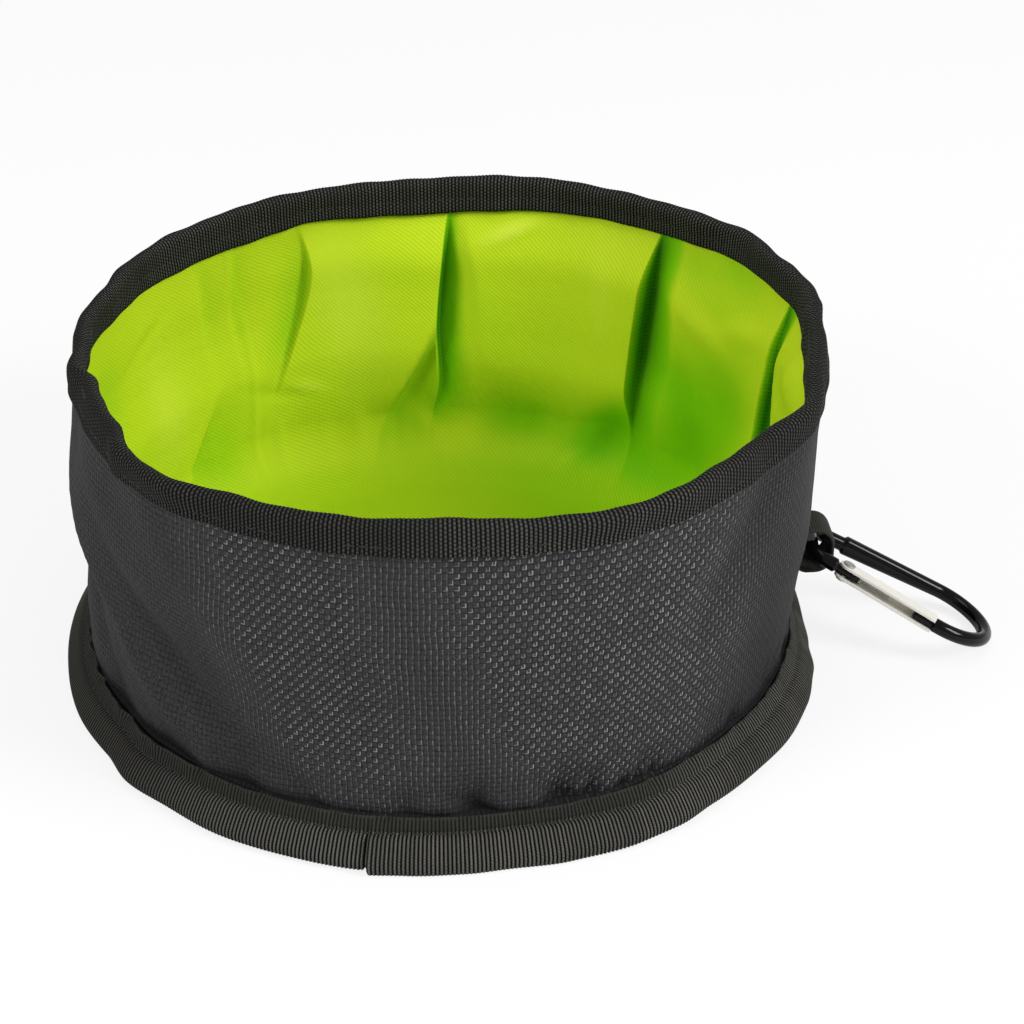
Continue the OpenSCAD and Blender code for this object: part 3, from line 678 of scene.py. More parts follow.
blackPaint = speckled("blackClipPaint", 900.0, (0.0018, 0.0018, 0.0018, 1), (0.0035, 0.0035, 0.0035, 1),
                      (0.08, 0.14), 0.02, **{"Specular IOR Level": 0.2})
gateMetal = speckled("platedGateSheet", 500.0, (0.80, 0.775, 0.70, 1), (0.90, 0.88, 0.81, 1), (0.3, 0.45),
                     0.05, detail=4.0, stretch=(0.4, 2.0, 2.0), Metallic=0.2)
smallSteel = speckled("smallSteel", 1200.0, (0.45, 0.44, 0.42, 1), (0.62, 0.61, 0.58, 1), (0.25, 0.4), 0.05,
                      Metallic=1.0)
print("materials made")


# outer wall: hem in the flange, up the outside, over and down the inside to the hem

wallGrid = dict(steps=640, low=(10.6, 24, 14), high=(25, 82.4, 30), hemOut=1.13, hemIn=0.53,
                hemUp=(6.5, 4.0, 1.8, 0.6), hemDown=(0.3, 1.5, 4.0, 6.5),  # places along the flange
                tuck=(10.6, 14.0), tuckR=83.6, tuckShare=0.25, uvR=84.5)
wearRows = [  # direction, how rubbed the weave looks
    (0, 0.5), (40, 0.5), (90, 0.6), (140, 0.5), (180, 0.2), (205, 0.06), (227, 0.05), (236, 0.35),
    (243, 0.68), (253, 0.72), (259, 0.45), (265, 0.28), (271, 0.45), (278, 0.9), (286, 1.0), (300, 0.95),
    (311, 0.5), (325, 0.26), (345, 0.3),
]
wallLook = dict(wearSlant=0.18, wearZ=50, wearLow=0.55, wearFrom=(12, 34),  # the rubbed bands
                # painted shade: darker above the hem, in the pockets, on one side and in the hollows
                hem=0.8, hemFrom=(14.5, 10), pocket=0.22, side=325, sideWide=19, sideShade=0.42,
                dent=0.16, dentTurn=-2)                                     # the shaded hollows
az = np.linspace(0, 360, wallGrid["steps"], endpoint=False)[:, None]
levels = np.concatenate([np.linspace(*wallGrid["low"]), np.linspace(*wallGrid["high"])])
hemLow = np.array([flangeAt(s, wallGrid["hemOut"]) for s in wallGrid["hemUp"]])
hemHigh = np.array([flangeAt(s, wallGrid["hemIn"]) for s in wallGrid["hemDown"]])
tuck = smooth(levels, *wallGrid["tuck"])
outside = wallRadius(az, levels[None, :])
calm = wallGrid["tuckR"] + wallGrid["tuckShare"] * (outside - wallGrid["tuckR"])  # waves die down at the seam
outside = outside * tuck + (1 - tuck) * calm
outside = outside - pocketDepth(az, levels[None, :])
inside = outside[:, ::-1] - bowl["clothT"]
hemShape = (len(az), len(hemLow))
r = np.concatenate([baseOut(az, np.broadcast_to(hemLow[:, 0], hemShape)), outside, inside,
                    baseOut(az, np.broadcast_to(hemHigh[:, 0], hemShape))], 1)
z = np.concatenate([hemLow[:, 1], levels, levels[::-1], hemHigh[:, 1]])
points = around(r, az, lifted(az, z[None, :]))
uvA = np.linspace(0, 2 * math.pi * wallGrid["uvR"], wallGrid["steps"] + 1)
outerWall = gridPiece("outerWall", points, uvA, ringLength(points[0]), body=None, slotName="outer_fabric",
                      replaces=["outer_wall"])
heights = z[None, :]
look = wallLook
wear = ringCurve(az + look["wearSlant"] * (heights - look["wearZ"]), wearRows, 1)
wear = wear * (look["wearLow"] + (1 - look["wearLow"]) * smooth(heights, *look["wearFrom"]))
addMask(outerWall, "wear", wear)
# painted shade: darker just above the base tape, in the pockets and on one side
shade = look["hem"] * smooth(heights, *look["hemFrom"]) ** 2 + look["pocket"] * pocketDepth(az, heights)
shade = shade + look["sideShade"] * hill(turnFrom(az, look["side"]), 0, look["sideWide"])
for at, height, deep, wide, tall, slant in wallDents:  # painted shade in the hollows, painted light on the swells
    turn = turnFrom(az, at + look["dentTurn"] + slant * (heights - height))
    shade = shade + look["dent"] * deep * hill(turn, 0, wide) * hill(heights, height, tall)
addMask(outerWall, "shade", shade)
paint(outerWall, outerFabric)
print("outer wall made")

# base panels: flat middle, then a curve up to the seam

basePanel = dict(flat=60.0, seam=81.0, rise=7.4, power=2.5, steps=360, under=(0.05, 0.6), underR=82.0,
                 floor=(0.75, 1.1), floorR=80.8, footDrop=0.24, footFrom=(70.3, 72.5),
                 inner=(0.8, 4), flatRings=16, riseRings=24,
                 # painted shade on the floor: an amount all over, and more towards one side
                 shade=0.2, darker=0.13, darkSide=10, darkFrom=(10, 46))
# slack of the floor: waves as size, turn along x and y in radians per mm, start
floorSlack = dict(waves=[(0.5, 0.061, 0.032, 0.8), (0.35, 0.043, -0.085, 2.1)], lift=0.5, share=0.9,
                  fade=(69, 50))


def dish(r):  # height of the curve up to the seam
    f = np.clip((r - basePanel["flat"]) / (basePanel["seam"] - basePanel["flat"]), 0, 1.2)
    return basePanel["rise"] * f ** basePanel["power"]


def floorShade(r, a):  # painted shade: the floor is darker all over, and more so towards one side
    sideways = r * np.cos(np.radians(a - basePanel["darkSide"]))
    return basePanel["shade"] + basePanel["darker"] * smooth(sideways, *basePanel["darkFrom"])


def floorWaves(r, a):  # slow waves that fade at the edge
    x, y = r * np.cos(np.radians(a)), r * np.sin(np.radians(a))
    slack = sum(size * np.sin(alongX * x + alongY * y + start)
                for size, alongX, alongY, start in floorSlack["waves"])
    return np.maximum(slack + floorSlack["lift"], 0) * floorSlack["share"] * smooth(r, *floorSlack["fade"])


def panel(name, low, high, reach, waves, **more):  # underside and top of a round panel, by rings
    first, second = basePanel["inner"]
    rings = np.concatenate([[first], np.linspace(second, basePanel["flat"], basePanel["flatRings"]),
                            np.linspace(basePanel["flat"], reach, basePanel["riseRings"])[1:]])
    a = np.linspace(0, 360, basePanel["steps"], endpoint=False)[:, None]
    r = np.broadcast_to(np.concatenate([rings, rings[::-1]]), (len(a), 2 * len(rings)))
    z = dish(r) + np.repeat([low, high], len(rings))[None, :]
    if waves:  # the top also drops a little where the wall lining's foot lies on it
        drop = basePanel["footDrop"] * smooth(r, *basePanel["footFrom"])
        z = z + floorWaves(r, a) - drop * np.repeat([0, 1], len(rings))[None, :]
    uv = np.stack([r * np.cos(np.radians(a)), r * np.sin(np.radians(a))], -1)
    return discPiece(name, around(r, a + 0 * r, z), uv, **more)


outerBase = panel("outerBase", *basePanel["under"], basePanel["underR"], False, slotName="outer_fabric",
                  replaces=["outer_base"])
paint(outerBase, outerFabric)
baseLining = panel("baseLining", *basePanel["floor"], basePanel["floorR"], True, slotName="lining_fabric",
                   replaces=["base_lining"])
spots = np.empty(3 * len(baseLining.data.vertices), np.float32)
baseLining.data.vertices.foreach_get("co", spots)
x, y = spots[0::3] / mm, spots[1::3] / mm
addMask(baseLining, "shade", floorShade(np.hypot(x, y), np.degrees(np.arctan2(y, x))))
paint(baseLining, liningFabric)
print("base panels made")

# wall lining: columns that lean with the creases, and a foot that runs out onto the floor

liningGrid = dict(steps=600, high=(82.2, 17, 43), foot=14, footTop=16.0, footEnd=70.0, sunk=0.03, uvR=82.5,
                  upper=(-0.7, 8.6), lower=(7.0, 2.1),  # what the foot's curve bends towards: out, up
                  dive=(0.5, 0.2), tilt=74, sharp=1.3, midZ=45, leanWide=7,
                  fine=(-2.4, -1.6, -1.1, -0.8, -0.5, -0.3, -0.1, 0.05, 0.2, 0.45, 0.9, 1.6))
sharpFolds = [f for f in linerFolds if f["drop"] < liningGrid["sharp"]]
creaseAt = np.array([softLine(liningGrid["midZ"], f["line"]) for f in sharpFolds])
azL = np.mod(np.concatenate([np.linspace(0, 360, liningGrid["steps"], endpoint=False)] +
                            [c + np.array(liningGrid["fine"]) for c in creaseAt]), 360)
azL = np.unique(np.round(azL, 3))[:, None]


def leaning(a, z):  # columns near a crease follow it up the wall
    shift = [hill(turnFrom(a, c), 0, liningGrid["leanWide"]) * (softLine(z, f["line"]) - c)
             for c, f in zip(creaseAt, sharpFolds)]
    return a + sum(shift)


levels = np.linspace(*liningGrid["high"])[None, :]
azWall = leaning(azL, levels)
wallR = liningRadius(azWall, levels + 0 * azL)
azFoot = leaning(azL, np.full((1, liningGrid["foot"]), liningGrid["footTop"]))
footR = liningRadius(azFoot, liningGrid["footTop"] + 0 * azFoot)
end = liningGrid["footEnd"]
endZ = dish(end) + basePanel["floor"][1] - liningGrid["sunk"]
upper, lower, dive = liningGrid["upper"], liningGrid["lower"], liningGrid["dive"]
t = np.linspace(0, 1, liningGrid["foot"])[None, :]   # foot: one cubic curve from upright to the floor's slope
bends = [(1 - t) ** 3, 3 * t * (1 - t) ** 2, 3 * t ** 2 * (1 - t), t ** 3]
r = bends[0] * footR + bends[1] * (footR + upper[0]) + bends[2] * (end + lower[0]) + bends[3] * end
z = bends[0] * liningGrid["footTop"] + bends[1] * upper[1] + bends[2] * (endZ + lower[1]) + bends[3] * endZ
r, z, azFoot, t = (np.concatenate([rows, rows[:, -1:] - step], 1)  # the end dives under the floor
                   for rows, step in ((r, dive[0]), (z, dive[1]), (azFoot, 0), (t, 0)))
tilt = np.linspace(0, math.radians(liningGrid["tilt"]), liningGrid["foot"] + 1)
tilt = np.concatenate([np.zeros(levels.shape[1]), tilt])[None, :]
r = np.concatenate([wallR, r], 1)
z = np.concatenate([levels + 0 * azL, z + 0 * azFoot], 1)
a = np.concatenate([azWall, azFoot], 1)
r = r - (pocketDepth(a, z) - pocketDepth(a, np.maximum(z, liningGrid["footTop"]))) * smooth(z, 6, 9)
backR, backZ = r + bowl["liningT"] * np.cos(tilt), z - bowl["liningT"] * np.sin(tilt)
onFloor = smooth(t, 0.3, 0.85)  # the foot's shade turns into the floor's
footShade = liningForm(azFoot, z[:, levels.shape[1]:])[1] * (1 - onFloor)
footShade = footShade + floorShade(np.minimum(r[:, levels.shape[1]:], 76), azFoot) * onFloor
shade = np.concatenate([liningForm(azWall, levels)[1], footShade], 1)
r, z, a, shade = (np.concatenate([back[:, ::-1], face], 1)
                  for back, face in ((backR, r), (backZ, z), (a, a), (shade, shade)))
points = around(r, a, lifted(a, z))
uvA = np.radians(np.append(azL[:, 0], azL[0, 0] + 360)) * liningGrid["uvR"]
wallLining = gridPiece("wallLining", points, uvA, ringLength(points[0]), body=None, slotName="lining_fabric",
                       replaces=["wall_lining"])
addMask(wallLining, "shade", shade)
paint(wallLining, liningFabric)
print("wall lining made")

# ribbed tape: ribs across the tape, four steps to a rib

ribStep = np.array([0.0, 0.75, 1.0, 0.75])  # height of the four steps of one rib


def profileNormals(profile, side):  # unit normals of a profile on its left (1) or right (-1)
    d = np.gradient(profile, axis=0)
    d /= np.linalg.norm(d, axis=1, keepdims=True)
    return side * np.stack([-d[:, 1], d[:, 0]], -1)


def wavy(az, parts):  # sum of sine waves: size, waves in a turn, start
    return sum(size * np.sin(np.radians(az * count + start)) for size, count, start in parts)


# base tape folded round the flange: flat band above the stitching, full ribbed band below, lapped at its end
baseTape = dict(
    ribs=640, high=0.3, groove=3.5, deep=0.45, full=0.42, lapAt=256.9, lapTo=282.0, lapOut=300.0,
    lapHigh=1.25, lapGap=0.5, lapStitch=0.36,
    lip=[(0.38, 61, 0), (0.3, 97, 40), (0.3, 37, 10), (0.25, 23, 70)],
    curl=(0.9, 220, 16),  # where the upper edge stands off most
    band=(3.3, 4.3), fullFrom=(3.5, 5.2), fullTo=(12, 8), pad=0.1, padAt=1.2, lipDown=1.6, grooveWide=0.5,
    plainLip=0.7, plainGroove=0.8, cut=(-0.09, 0.1), gapBefore=0.35, gapWide=0.25,
    lapUpper=0.25, ribUpper=0.3, innerPush=0.3,  # shares above the stitching, most push of the inner face
    # by direction: how smooth and rubbed the tape is, and how much shade is painted on it
    plain=[(0, 0.9), (25, 0.6), (60, 0.3), (120, 0), (292, 0), (314, 0.7), (338, 0.9)],
    darkTone=[(0, 0), (100, 0), (150, 0.4), (190, 0.68), (214, 0.68), (238, 0.3), (262, 0)],
)


def lapShare(az):  # 1 on the lap from its cut end on, to 0 where it has come down to the tape
    before, after = baseTape["cut"]
    cut = smooth(az, baseTape["lapAt"] + before, baseTape["lapAt"] + after)
    return cut * smooth(az, baseTape["lapOut"], baseTape["lapTo"])


azT = np.linspace(0, 360, 4 * baseTape["ribs"], endpoint=False)[:, None]
down = np.array([0.0, 0.12, 0.5, 1.1, 1.8, 2.5, 2.95, 3.25, 3.5, 3.75, 4.05, 4.6, 5.4, 6.3, 7.2, 8.1, 9.0])
foldA = np.radians(90 - flange["slope"] - np.linspace(0, 180, 8)[1:])
mid = np.array(flangeAt(flange["run"], 0))
profile = np.concatenate([
    np.array([flangeAt(x, flange["half"]) for x in down]),
    mid + flange["half"] * np.stack([np.cos(foldA), np.sin(foldA)], -1),
    np.array([flangeAt(x, -flange["half"]) for x in (7, 5, 3)]),
])
normal = profileNormals(profile, 1)
length = ringLength(profile)[:-1]
tape = baseTape
main = smooth(length, *tape["band"])
lip = wavy(azT, tape["lip"]) + tape["curl"][0] * hill(turnFrom(azT, tape["curl"][1]), 0, tape["curl"][2])
plain = ringCurve(azT, tape["plain"], 1)
push = tape["full"] * smooth(length, *tape["fullFrom"]) * smooth(length, *tape["fullTo"])
push = (push + tape["pad"] * hill(length, tape["padAt"], tape["padAt"]))[None, :]
push = push + lip * (1 - tape["plainLip"] * plain) * hill(length, 0, tape["lipDown"])[None, :]
groove = hill(length, tape["groove"], tape["grooveWide"])[None, :]
push = push - tape["deep"] * (1 - tape["plainGroove"] * plain) * groove
lapBand = (tape["lapUpper"] + (1 - tape["lapUpper"]) * main)[None, :]
push = push + tape["lapHigh"] * lapShare(azT) * lapBand
push = push - tape["lapGap"] * hill(azT, tape["lapAt"] - tape["gapBefore"], tape["gapWide"]) * lapBand
ribBand = (tape["ribUpper"] + (1 - tape["ribUpper"]) * main)[None, :]
ribs = tape["high"] * np.tile(ribStep, tape["ribs"])[:, None] * ribBand
outer = profile[None] + (push + ribs)[..., None] * normal[None]
inner = profile[None] + (np.minimum(push, tape["innerPush"]) - flange["tapeT"])[..., None] * normal[None]
back = [0, 4, 8, 12, 16, 18, 20, 23, 26]  # the inner face needs fewer points
ring = np.concatenate([outer[:, ::-1], inner[:, back]], 1)
points = around(baseOut(azT, ring[..., 0]), azT, np.maximum(ring[..., 1], 0.02))
uvA = np.linspace(0, baseTape["ribs"] * baseCloth["rib"], 4 * baseTape["ribs"] + 1)
uvB = np.concatenate([length[::-1], length[back], [length[-1]]])
baseBinding = gridPiece("baseBinding", points, uvA, uvB, slotName="binding_tape", replaces=["base_binding"])
addMask(baseBinding, "wear", plain + 0 * ring[..., 0])
# painted shade: the base tape is darker towards one side
addMask(baseBinding, "shade", ringCurve(azT, baseTape["darkTone"], 1) + 0 * ring[..., 0])
paint(baseBinding, baseTapeFabric)
print("base tape made")

# rim tape folded over the rim
rimTape = dict(
    ribs=590, high=0.16, outH=7.0, inH=8.4, thick=3.6, groove=78.4, deep=0.18, tapeT=0.75,
    wallZ=79.0, middleIn=0.6, crestShare=0.55, crestFrom=(7.5, 1.0), reachOut=0.4, reachUp=0.9,
    inFrom=(0.2, -1.2), inTop=2, grooveWide=0.6, edge=[(0.1, 29, 0), (0.09, 47, 60), (0.08, 19, 25)],
    edgeInner=0.5, outerSide=(-0.5, 1.0), innerSide=(0.5, -1.0), innerLight=0.62,
    wear=[(200, 0), (240, 0.1), (258, 0.1), (276, 0.7), (296, 0.6), (325, 0.2), (360, 0.1)],
)
azR = np.linspace(0, 360, 4 * rimTape["ribs"], endpoint=False)[:, None]
half = rimTape["thick"] / 2
top = bowl["top"]


def rimAt(az, n, z):
    # tape point n out from the rim's middle at height z: the crest follows the rim's waves more than the
    # outer edge does, and the inner edge has its own reach
    reach = sum(ringCurve(az + step, rimShape, 3) for step in (-4, -2, 0, 2, 4)) / 5
    inward = smooth(n, *rimTape["inFrom"]) * smooth(z, top - rimTape["inTop"], top - rimTape["inH"])
    inward = reach * inward
    low, high = rimTape["crestFrom"]
    waves = rimTape["crestShare"] * rimOut(az) * smooth(z, top - low, top - high)
    r = wallRadius(az, rimTape["wallZ"]) - rimTape["middleIn"] + n + waves + rimTape["reachOut"] * inward
    return r, z + rimUp(az) + rimTape["reachUp"] * inward


outDown = np.array([rimTape["outH"], 6.6, 5.8, 5.2, 4.6, 3.4, 2.2])
inDown = np.array([2.2, 3.4, 4.6, 5.2, 5.8, 6.6, 7.6, rimTape["inH"]])
crest = np.radians(np.linspace(0, 180, 11)[1:-1])
profile = np.concatenate([
    np.stack([np.full(len(outDown), half), top - outDown], -1),
    np.stack([half * np.cos(crest), top - half + half * np.sin(crest)], -1),
    np.stack([np.full(len(inDown), -half), top - inDown], -1),
])
normal = profileNormals(profile, -1)
length = ringLength(profile)[:-1]
dip = -rimTape["deep"] * hill(profile[:, 1], rimTape["groove"], rimTape["grooveWide"])[None, :]
edgeWave = wavy(azR, rimTape["edge"])
ribs = rimTape["high"] * np.tile(ribStep, rimTape["ribs"])[:, None]
outer = profile[None] + (dip + ribs + edgeWave)[..., None] * normal[None]
innerAt = dip - rimTape["tapeT"] + rimTape["edgeInner"] * edgeWave
inner = profile[None] + innerAt[..., None] * normal[None]
back = [23, 19, 16, 13, 11, 9, 7, 4, 0]  # the inner face needs fewer points
ring = np.concatenate([outer, inner[:, back]], 1)
r, z = rimAt(azR, ring[..., 0], ring[..., 1])
uvA = np.linspace(0, rimTape["ribs"] * rimCloth["rib"], 4 * rimTape["ribs"] + 1)
uvB = np.concatenate([length, length[back], [length[0]]])
rimBinding = gridPiece("rimBinding", around(r, azR, z), uvA, uvB, body="rim", slotName="binding_tape",
                       replaces=["rim_binding"])
# rubbed by direction on the outer side, with painted light all along the inner face
rimWearAndLight = ringCurve(azR, rimTape["wear"], 1) * smooth(ring[..., 0], *rimTape["outerSide"])
rimWearAndLight = rimWearAndLight + rimTape["innerLight"] * smooth(ring[..., 0], *rimTape["innerSide"])
addMask(rimBinding, "wear", rimWearAndLight)
paint(rimBinding, rimTapeFabric)
print("rim tape made")


# stitches: short rounded lengths of thread, one small capsule each

def stitchRow(name, centre, tangent, normal, sizes, **more):
    # capsule = rings of eight along the stitch, thin at the ends, set out along tangent, side and normal
    count, sides = len(centre), 8
    tangent = tangent / np.linalg.norm(tangent, axis=1, keepdims=True)
    side = np.cross(normal, tangent)
    ringAt = np.array([-0.5, -0.42, -0.2, 0.2, 0.42, 0.5])
    ringSize = np.array([0.15, 0.75, 1.0, 1.0, 0.75, 0.15])
    phi = np.linspace(0, 2 * math.pi, sides, endpoint=False)
    lengthways = np.repeat(ringAt * sizes[0], sides)
    sideways = (ringSize[:, None] * np.cos(phi)).ravel() * sizes[1] / 2
    upwards = (ringSize[:, None] * np.sin(phi)).ravel() * sizes[2] / 2
    points = centre[:, None] + lengthways[None, :, None] * tangent[:, None]
    points = points + sideways[None, :, None] * side[:, None] + upwards[None, :, None] * normal[:, None]
    k, j = np.arange(len(ringAt) - 1)[:, None] * sides, np.arange(sides)[None, :]
    j1 = (j + 1) % sides
    quads = np.stack([k + sides + j, k + sides + j1, k + j1, k + j], -1).reshape(-1, 4)
    start = np.array([[0, 1, 2, 3], [0, 3, 4, 7], [4, 5, 6, 7]])  # the end rings, each closed by three quads
    quads = np.concatenate([quads, start, start[:, ::-1] + len(lengthways) - sides])
    faces = (quads[None] + len(lengthways) * np.arange(count)[:, None, None]).reshape(-1, 4)
    uvPoint = np.stack([np.tile(lengthways, count), np.tile(sideways, count)], -1)
    piece = putMesh(name, points, [faces], [uvPoint[faces]], slotName="thread", **more)
    paint(piece, threadStuff)
    return piece


def ringFrame(azS, radius, z):  # place, direction and outward way of points round the bowl
    a = np.radians(azS)
    centre = np.stack([radius * np.cos(a), radius * np.sin(a), z], -1)
    tangent = np.stack([-np.sin(a), np.cos(a), 0 * a], -1)
    return centre, tangent, np.stack([np.cos(a), np.sin(a), 0 * a], -1)


baseStitch = dict(count=205, size=(2.1, 0.5, 0.34), sunk=0.25)
azS = np.arange(baseStitch["count"]) * 360 / baseStitch["count"]
lapS = lapShare(azS) * baseTape["lapHigh"] * baseTape["lapStitch"]
slopeOut, slopeUp = math.sin(math.radians(flange["slope"])), math.cos(math.radians(flange["slope"]))
r0, z0 = flangeAt(baseTape["groove"], flange["half"] - baseStitch["sunk"])
centre, tangent, outward = ringFrame(azS, baseOut(azS, r0 + lapS * slopeOut), z0 + lapS * slopeUp)
stitchRow("baseStitching", centre, tangent, outward * slopeOut + np.array([0, 0, 1]) * slopeUp,
          baseStitch["size"], replaces=["base_stitching"])

rimStitch = dict(count=200, size=(2.0, 0.45, 0.3), sunk=0.2, stagger=0.4)
azS = np.arange(rimStitch["count"]) * 360 / rimStitch["count"]
outR, outZ = rimAt(azS, half - rimStitch["sunk"], rimTape["groove"])
inR, inZ = rimAt(azS + rimStitch["stagger"], -half + rimStitch["sunk"], rimTape["groove"])
centre, tangent, outward = ringFrame(azS, outR, outZ)
centreIn, _, _ = ringFrame(azS + rimStitch["stagger"], inR, inZ)
stitchRow("rimStitching", np.concatenate([centre, centreIn]), np.concatenate([tangent, tangent]),
          np.concatenate([outward, -outward]), rimStitch["size"], body="rim", replaces=["rim_stitching"])
print("stitches made")

# webbing loop: closed band, its section carried round a D

loop = dict(back=84.2, gap=7.6, thick=1.2, high=10.0, wide=9.5, z=22.0, round=3.4, backRound=3.0,
            bends=(12, 6), steps=96, section=32, edge=0.35, face=0.6)  # edge and face: less is squarer
x0, x1 = loop["back"] + loop["thick"] / 2, loop["back"] + loop["gap"] + 1.5 * loop["thick"]
tall = loop["high"] / 2 + loop["thick"] / 2
bendR = loop["round"] + loop["thick"] / 2
q = np.radians(np.linspace(-90, 0, loop["bends"][0]))
low = np.stack([x1 - bendR + bendR * np.cos(q), -tall + bendR + bendR * np.sin(q)], -1)
q = np.radians(np.linspace(90, 180, loop["bends"][1]))
backR = loop["backRound"]
backTop = np.stack([x0 + backR * (1 + np.cos(q)), tall - backR * (1 - np.sin(q))], -1)
mirror = np.array([1, -1])
middle = np.array([[(x0 + x1 - bendR) / 2, tall]])
outline = np.concatenate([low, low[::-1] * mirror, middle, backTop, backTop[::-1] * mirror, middle * mirror])
step = ringLength(outline)
at = np.linspace(0, step[-1], loop["steps"], endpoint=False)
closed = np.concatenate([outline, outline[:1]])
path = np.stack([np.interp(at, step, closed[:, 0]), np.interp(at, step, closed[:, 1])], -1)
tang = np.roll(path, -1, 0) - np.roll(path, 1, 0)
tang /= np.linalg.norm(tang, axis=1, keepdims=True)
outN = np.stack([tang[:, 1], -tang[:, 0]], -1)
phi = np.linspace(0, 2 * math.pi, loop["section"], endpoint=False)
secY = loop["wide"] / 2 * np.sign(np.cos(phi)) * np.abs(np.cos(phi)) ** loop["edge"]
secN = loop["thick"] / 2 * np.sign(np.sin(phi)) * np.abs(np.sin(phi)) ** loop["face"]
flat = path[:, None] + secN[None, :, None] * outN[:, None]
points = np.stack([flat[..., 0], np.broadcast_to(secY, flat.shape[:2]), flat[..., 1] + loop["z"]], -1)
uvB = np.concatenate([secY, secY[:1]])
hangLoop = gridPiece("hangLoop", points[:, ::-1], np.linspace(0, step[-1], loop["steps"] + 1), uvB[::-1],
                     slotName="webbing", replaces=["hang_loop"])
paint(hangLoop, webbing)

loopTack = dict(count=9, across=3.2, away=3.8, above=0.05, lean=(0.0, 0.35, 1.0), size=(1.5, 0.5, 0.34))
tackY = np.tile(np.linspace(-loopTack["across"], loopTack["across"], loopTack["count"]), 2)
tackZ = loop["z"] + np.repeat([-loopTack["away"], loopTack["away"]], loopTack["count"])
centre = np.stack([np.full(len(tackY), loop["back"] + loop["thick"] + loopTack["above"]), tackY, tackZ], -1)
stitchRow("loopStitching", centre, np.tile(loopTack["lean"], (len(tackY), 1)),
          np.tile([1.0, 0.0, 0.0], (len(tackY), 1)), loopTack["size"], replaces=["loop_stitching"])
print("loop made")

# clip frame: a section carried along the bent rod, flat at its two ends inside the gate

clip = dict(len=51, wide=27, neck=18.5, rod=3.5, spine=4.6, yaw=-11, pitch=25.6835, roll=9,
            place=(89.2022, 0.3421, 22), bar=3.325, rivet=6.0,
            pastRivet=3.7, rodShort=2.85, nose=5.9, tongueW=1.4, tongueH=0.95,  # the flat ends in the gate
            tongueRound=1.4, noseRound=0.5, spineFrom=9.5, spineSide=0.08, section=28,
            roundness=2.0, tongueSquare=3.0, spineSquare=0.8)  # power of the section, and what squares it
rod = clip["rod"] / 2
run = clip["len"] - clip["rod"]
neckHalf = (clip["neck"] - clip["rod"]) / 2
neckBend = neckHalf - clip["bar"]
wideBend = (clip["wide"] - clip["rod"]) / 2
gateDx, gateDy = run - wideBend - neckBend, wideBend - neckHalf - clip["bar"]
gateTurn = math.atan2(gateDy, gateDx) + math.asin((wideBend - neckBend) / math.hypot(gateDx, gateDy))
gateLine = math.sqrt(gateDx ** 2 + gateDy ** 2 - (wideBend - neckBend) ** 2)
gateFrom = np.array([neckBend - neckBend * math.sin(gateTurn), -clip["bar"] - neckBend * math.cos(gateTurn)])
gateDir = np.array([math.cos(gateTurn), -math.sin(gateTurn)])


def turnAbout(axis, deg):  # turning matrix about one axis
    c, n = math.cos(math.radians(deg)), math.sin(math.radians(deg))
    turns = {"x": [[1, 0, 0], [0, c, -n], [0, n, c]], "y": [[c, 0, n], [0, 1, 0], [-n, 0, c]],
             "z": [[c, -n, 0], [n, c, 0], [0, 0, 1]]}
    return np.array(turns[axis])


clipTurn = turnAbout("z", clip["yaw"]) @ turnAbout("y", clip["pitch"]) @ turnAbout("x", -clip["roll"])


def bow(cx, cy, r, a, b, n):  # arc from a to b degrees
    q = np.radians(np.linspace(a, b, n))
    return np.stack([cx + r * np.cos(q), cy + r * np.sin(q)], -1)


def straight(a, b, n):  # n points from a to b
    return np.asarray(a) + (np.asarray(b) - np.asarray(a)) * np.linspace(0, 1, n)[:, None]


turnDeg = math.degrees(gateTurn)
tongueEnd, rodEnd = clip["rivet"] + clip["pastRivet"], clip["rivet"] - clip["rodShort"]
noseFrom = gateLine - clip["nose"]
legs = [
    straight(gateFrom + gateDir * tongueEnd, gateFrom, 60),
    bow(neckBend, -clip["bar"], neckBend, 270 - turnDeg, 180, 24)[1:],
    straight((0, -clip["bar"]), (0, clip["bar"]), 12)[1:],
    bow(neckBend, clip["bar"], neckBend, 180, 90, 24)[1:],
    straight((neckBend, neckHalf), (run - wideBend, neckHalf), 120)[1:],
    bow(run - wideBend, neckHalf - wideBend, wideBend, 90, -90 - turnDeg, 72)[1:],
    straight(gateFrom + gateDir * gateLine, gateFrom + gateDir * noseFrom, 44)[1:],
]
path = np.concatenate(legs)
leg = np.repeat(np.arange(len(legs)), [len(p) for p in legs])
gateAt = (path - gateFrom) @ gateDir
tongue = np.where(leg == 0, smooth(gateAt, rodEnd - 0.1, rodEnd + 0.5), 0)
tongue = tongue + np.where(leg == 6, smooth(gateAt, gateLine - 0.2, gateLine - 0.8), 0)
endIn = np.where(leg == 0, np.clip((tongueEnd - gateAt) / clip["tongueRound"], 0, 1), 1)
endIn = np.where(leg == 6, np.clip((gateAt - noseFrom) / clip["noseRound"], 0, 1), endIn)
spineFrom = clip["spineFrom"]
onSpine = np.where(leg == 4, smooth(path[:, 0], spineFrom - 0.3, spineFrom + 0.5), 0)
spineAt = np.clip(onSpine * (1 - (path[:, 0] - spineFrom) / (run - wideBend - spineFrom)), 0, 1)
halfW = (rod * (1 - tongue) + clip["tongueW"] * tongue) * np.sqrt(np.clip(1 - (1 - endIn) ** 2, 0.03, 1))
halfW = halfW + clip["spineSide"] * onSpine
halfH = rod * (1 - tongue) + clip["tongueH"] * tongue + (clip["spine"] / 2 - rod) * spineAt
power = clip["roundness"] + clip["tongueSquare"] * tongue + clip["spineSquare"] * spineAt
tang = np.gradient(path, axis=0)
tang /= np.linalg.norm(tang, axis=1, keepdims=True)
side = np.stack([-tang[:, 1], tang[:, 0]], -1)
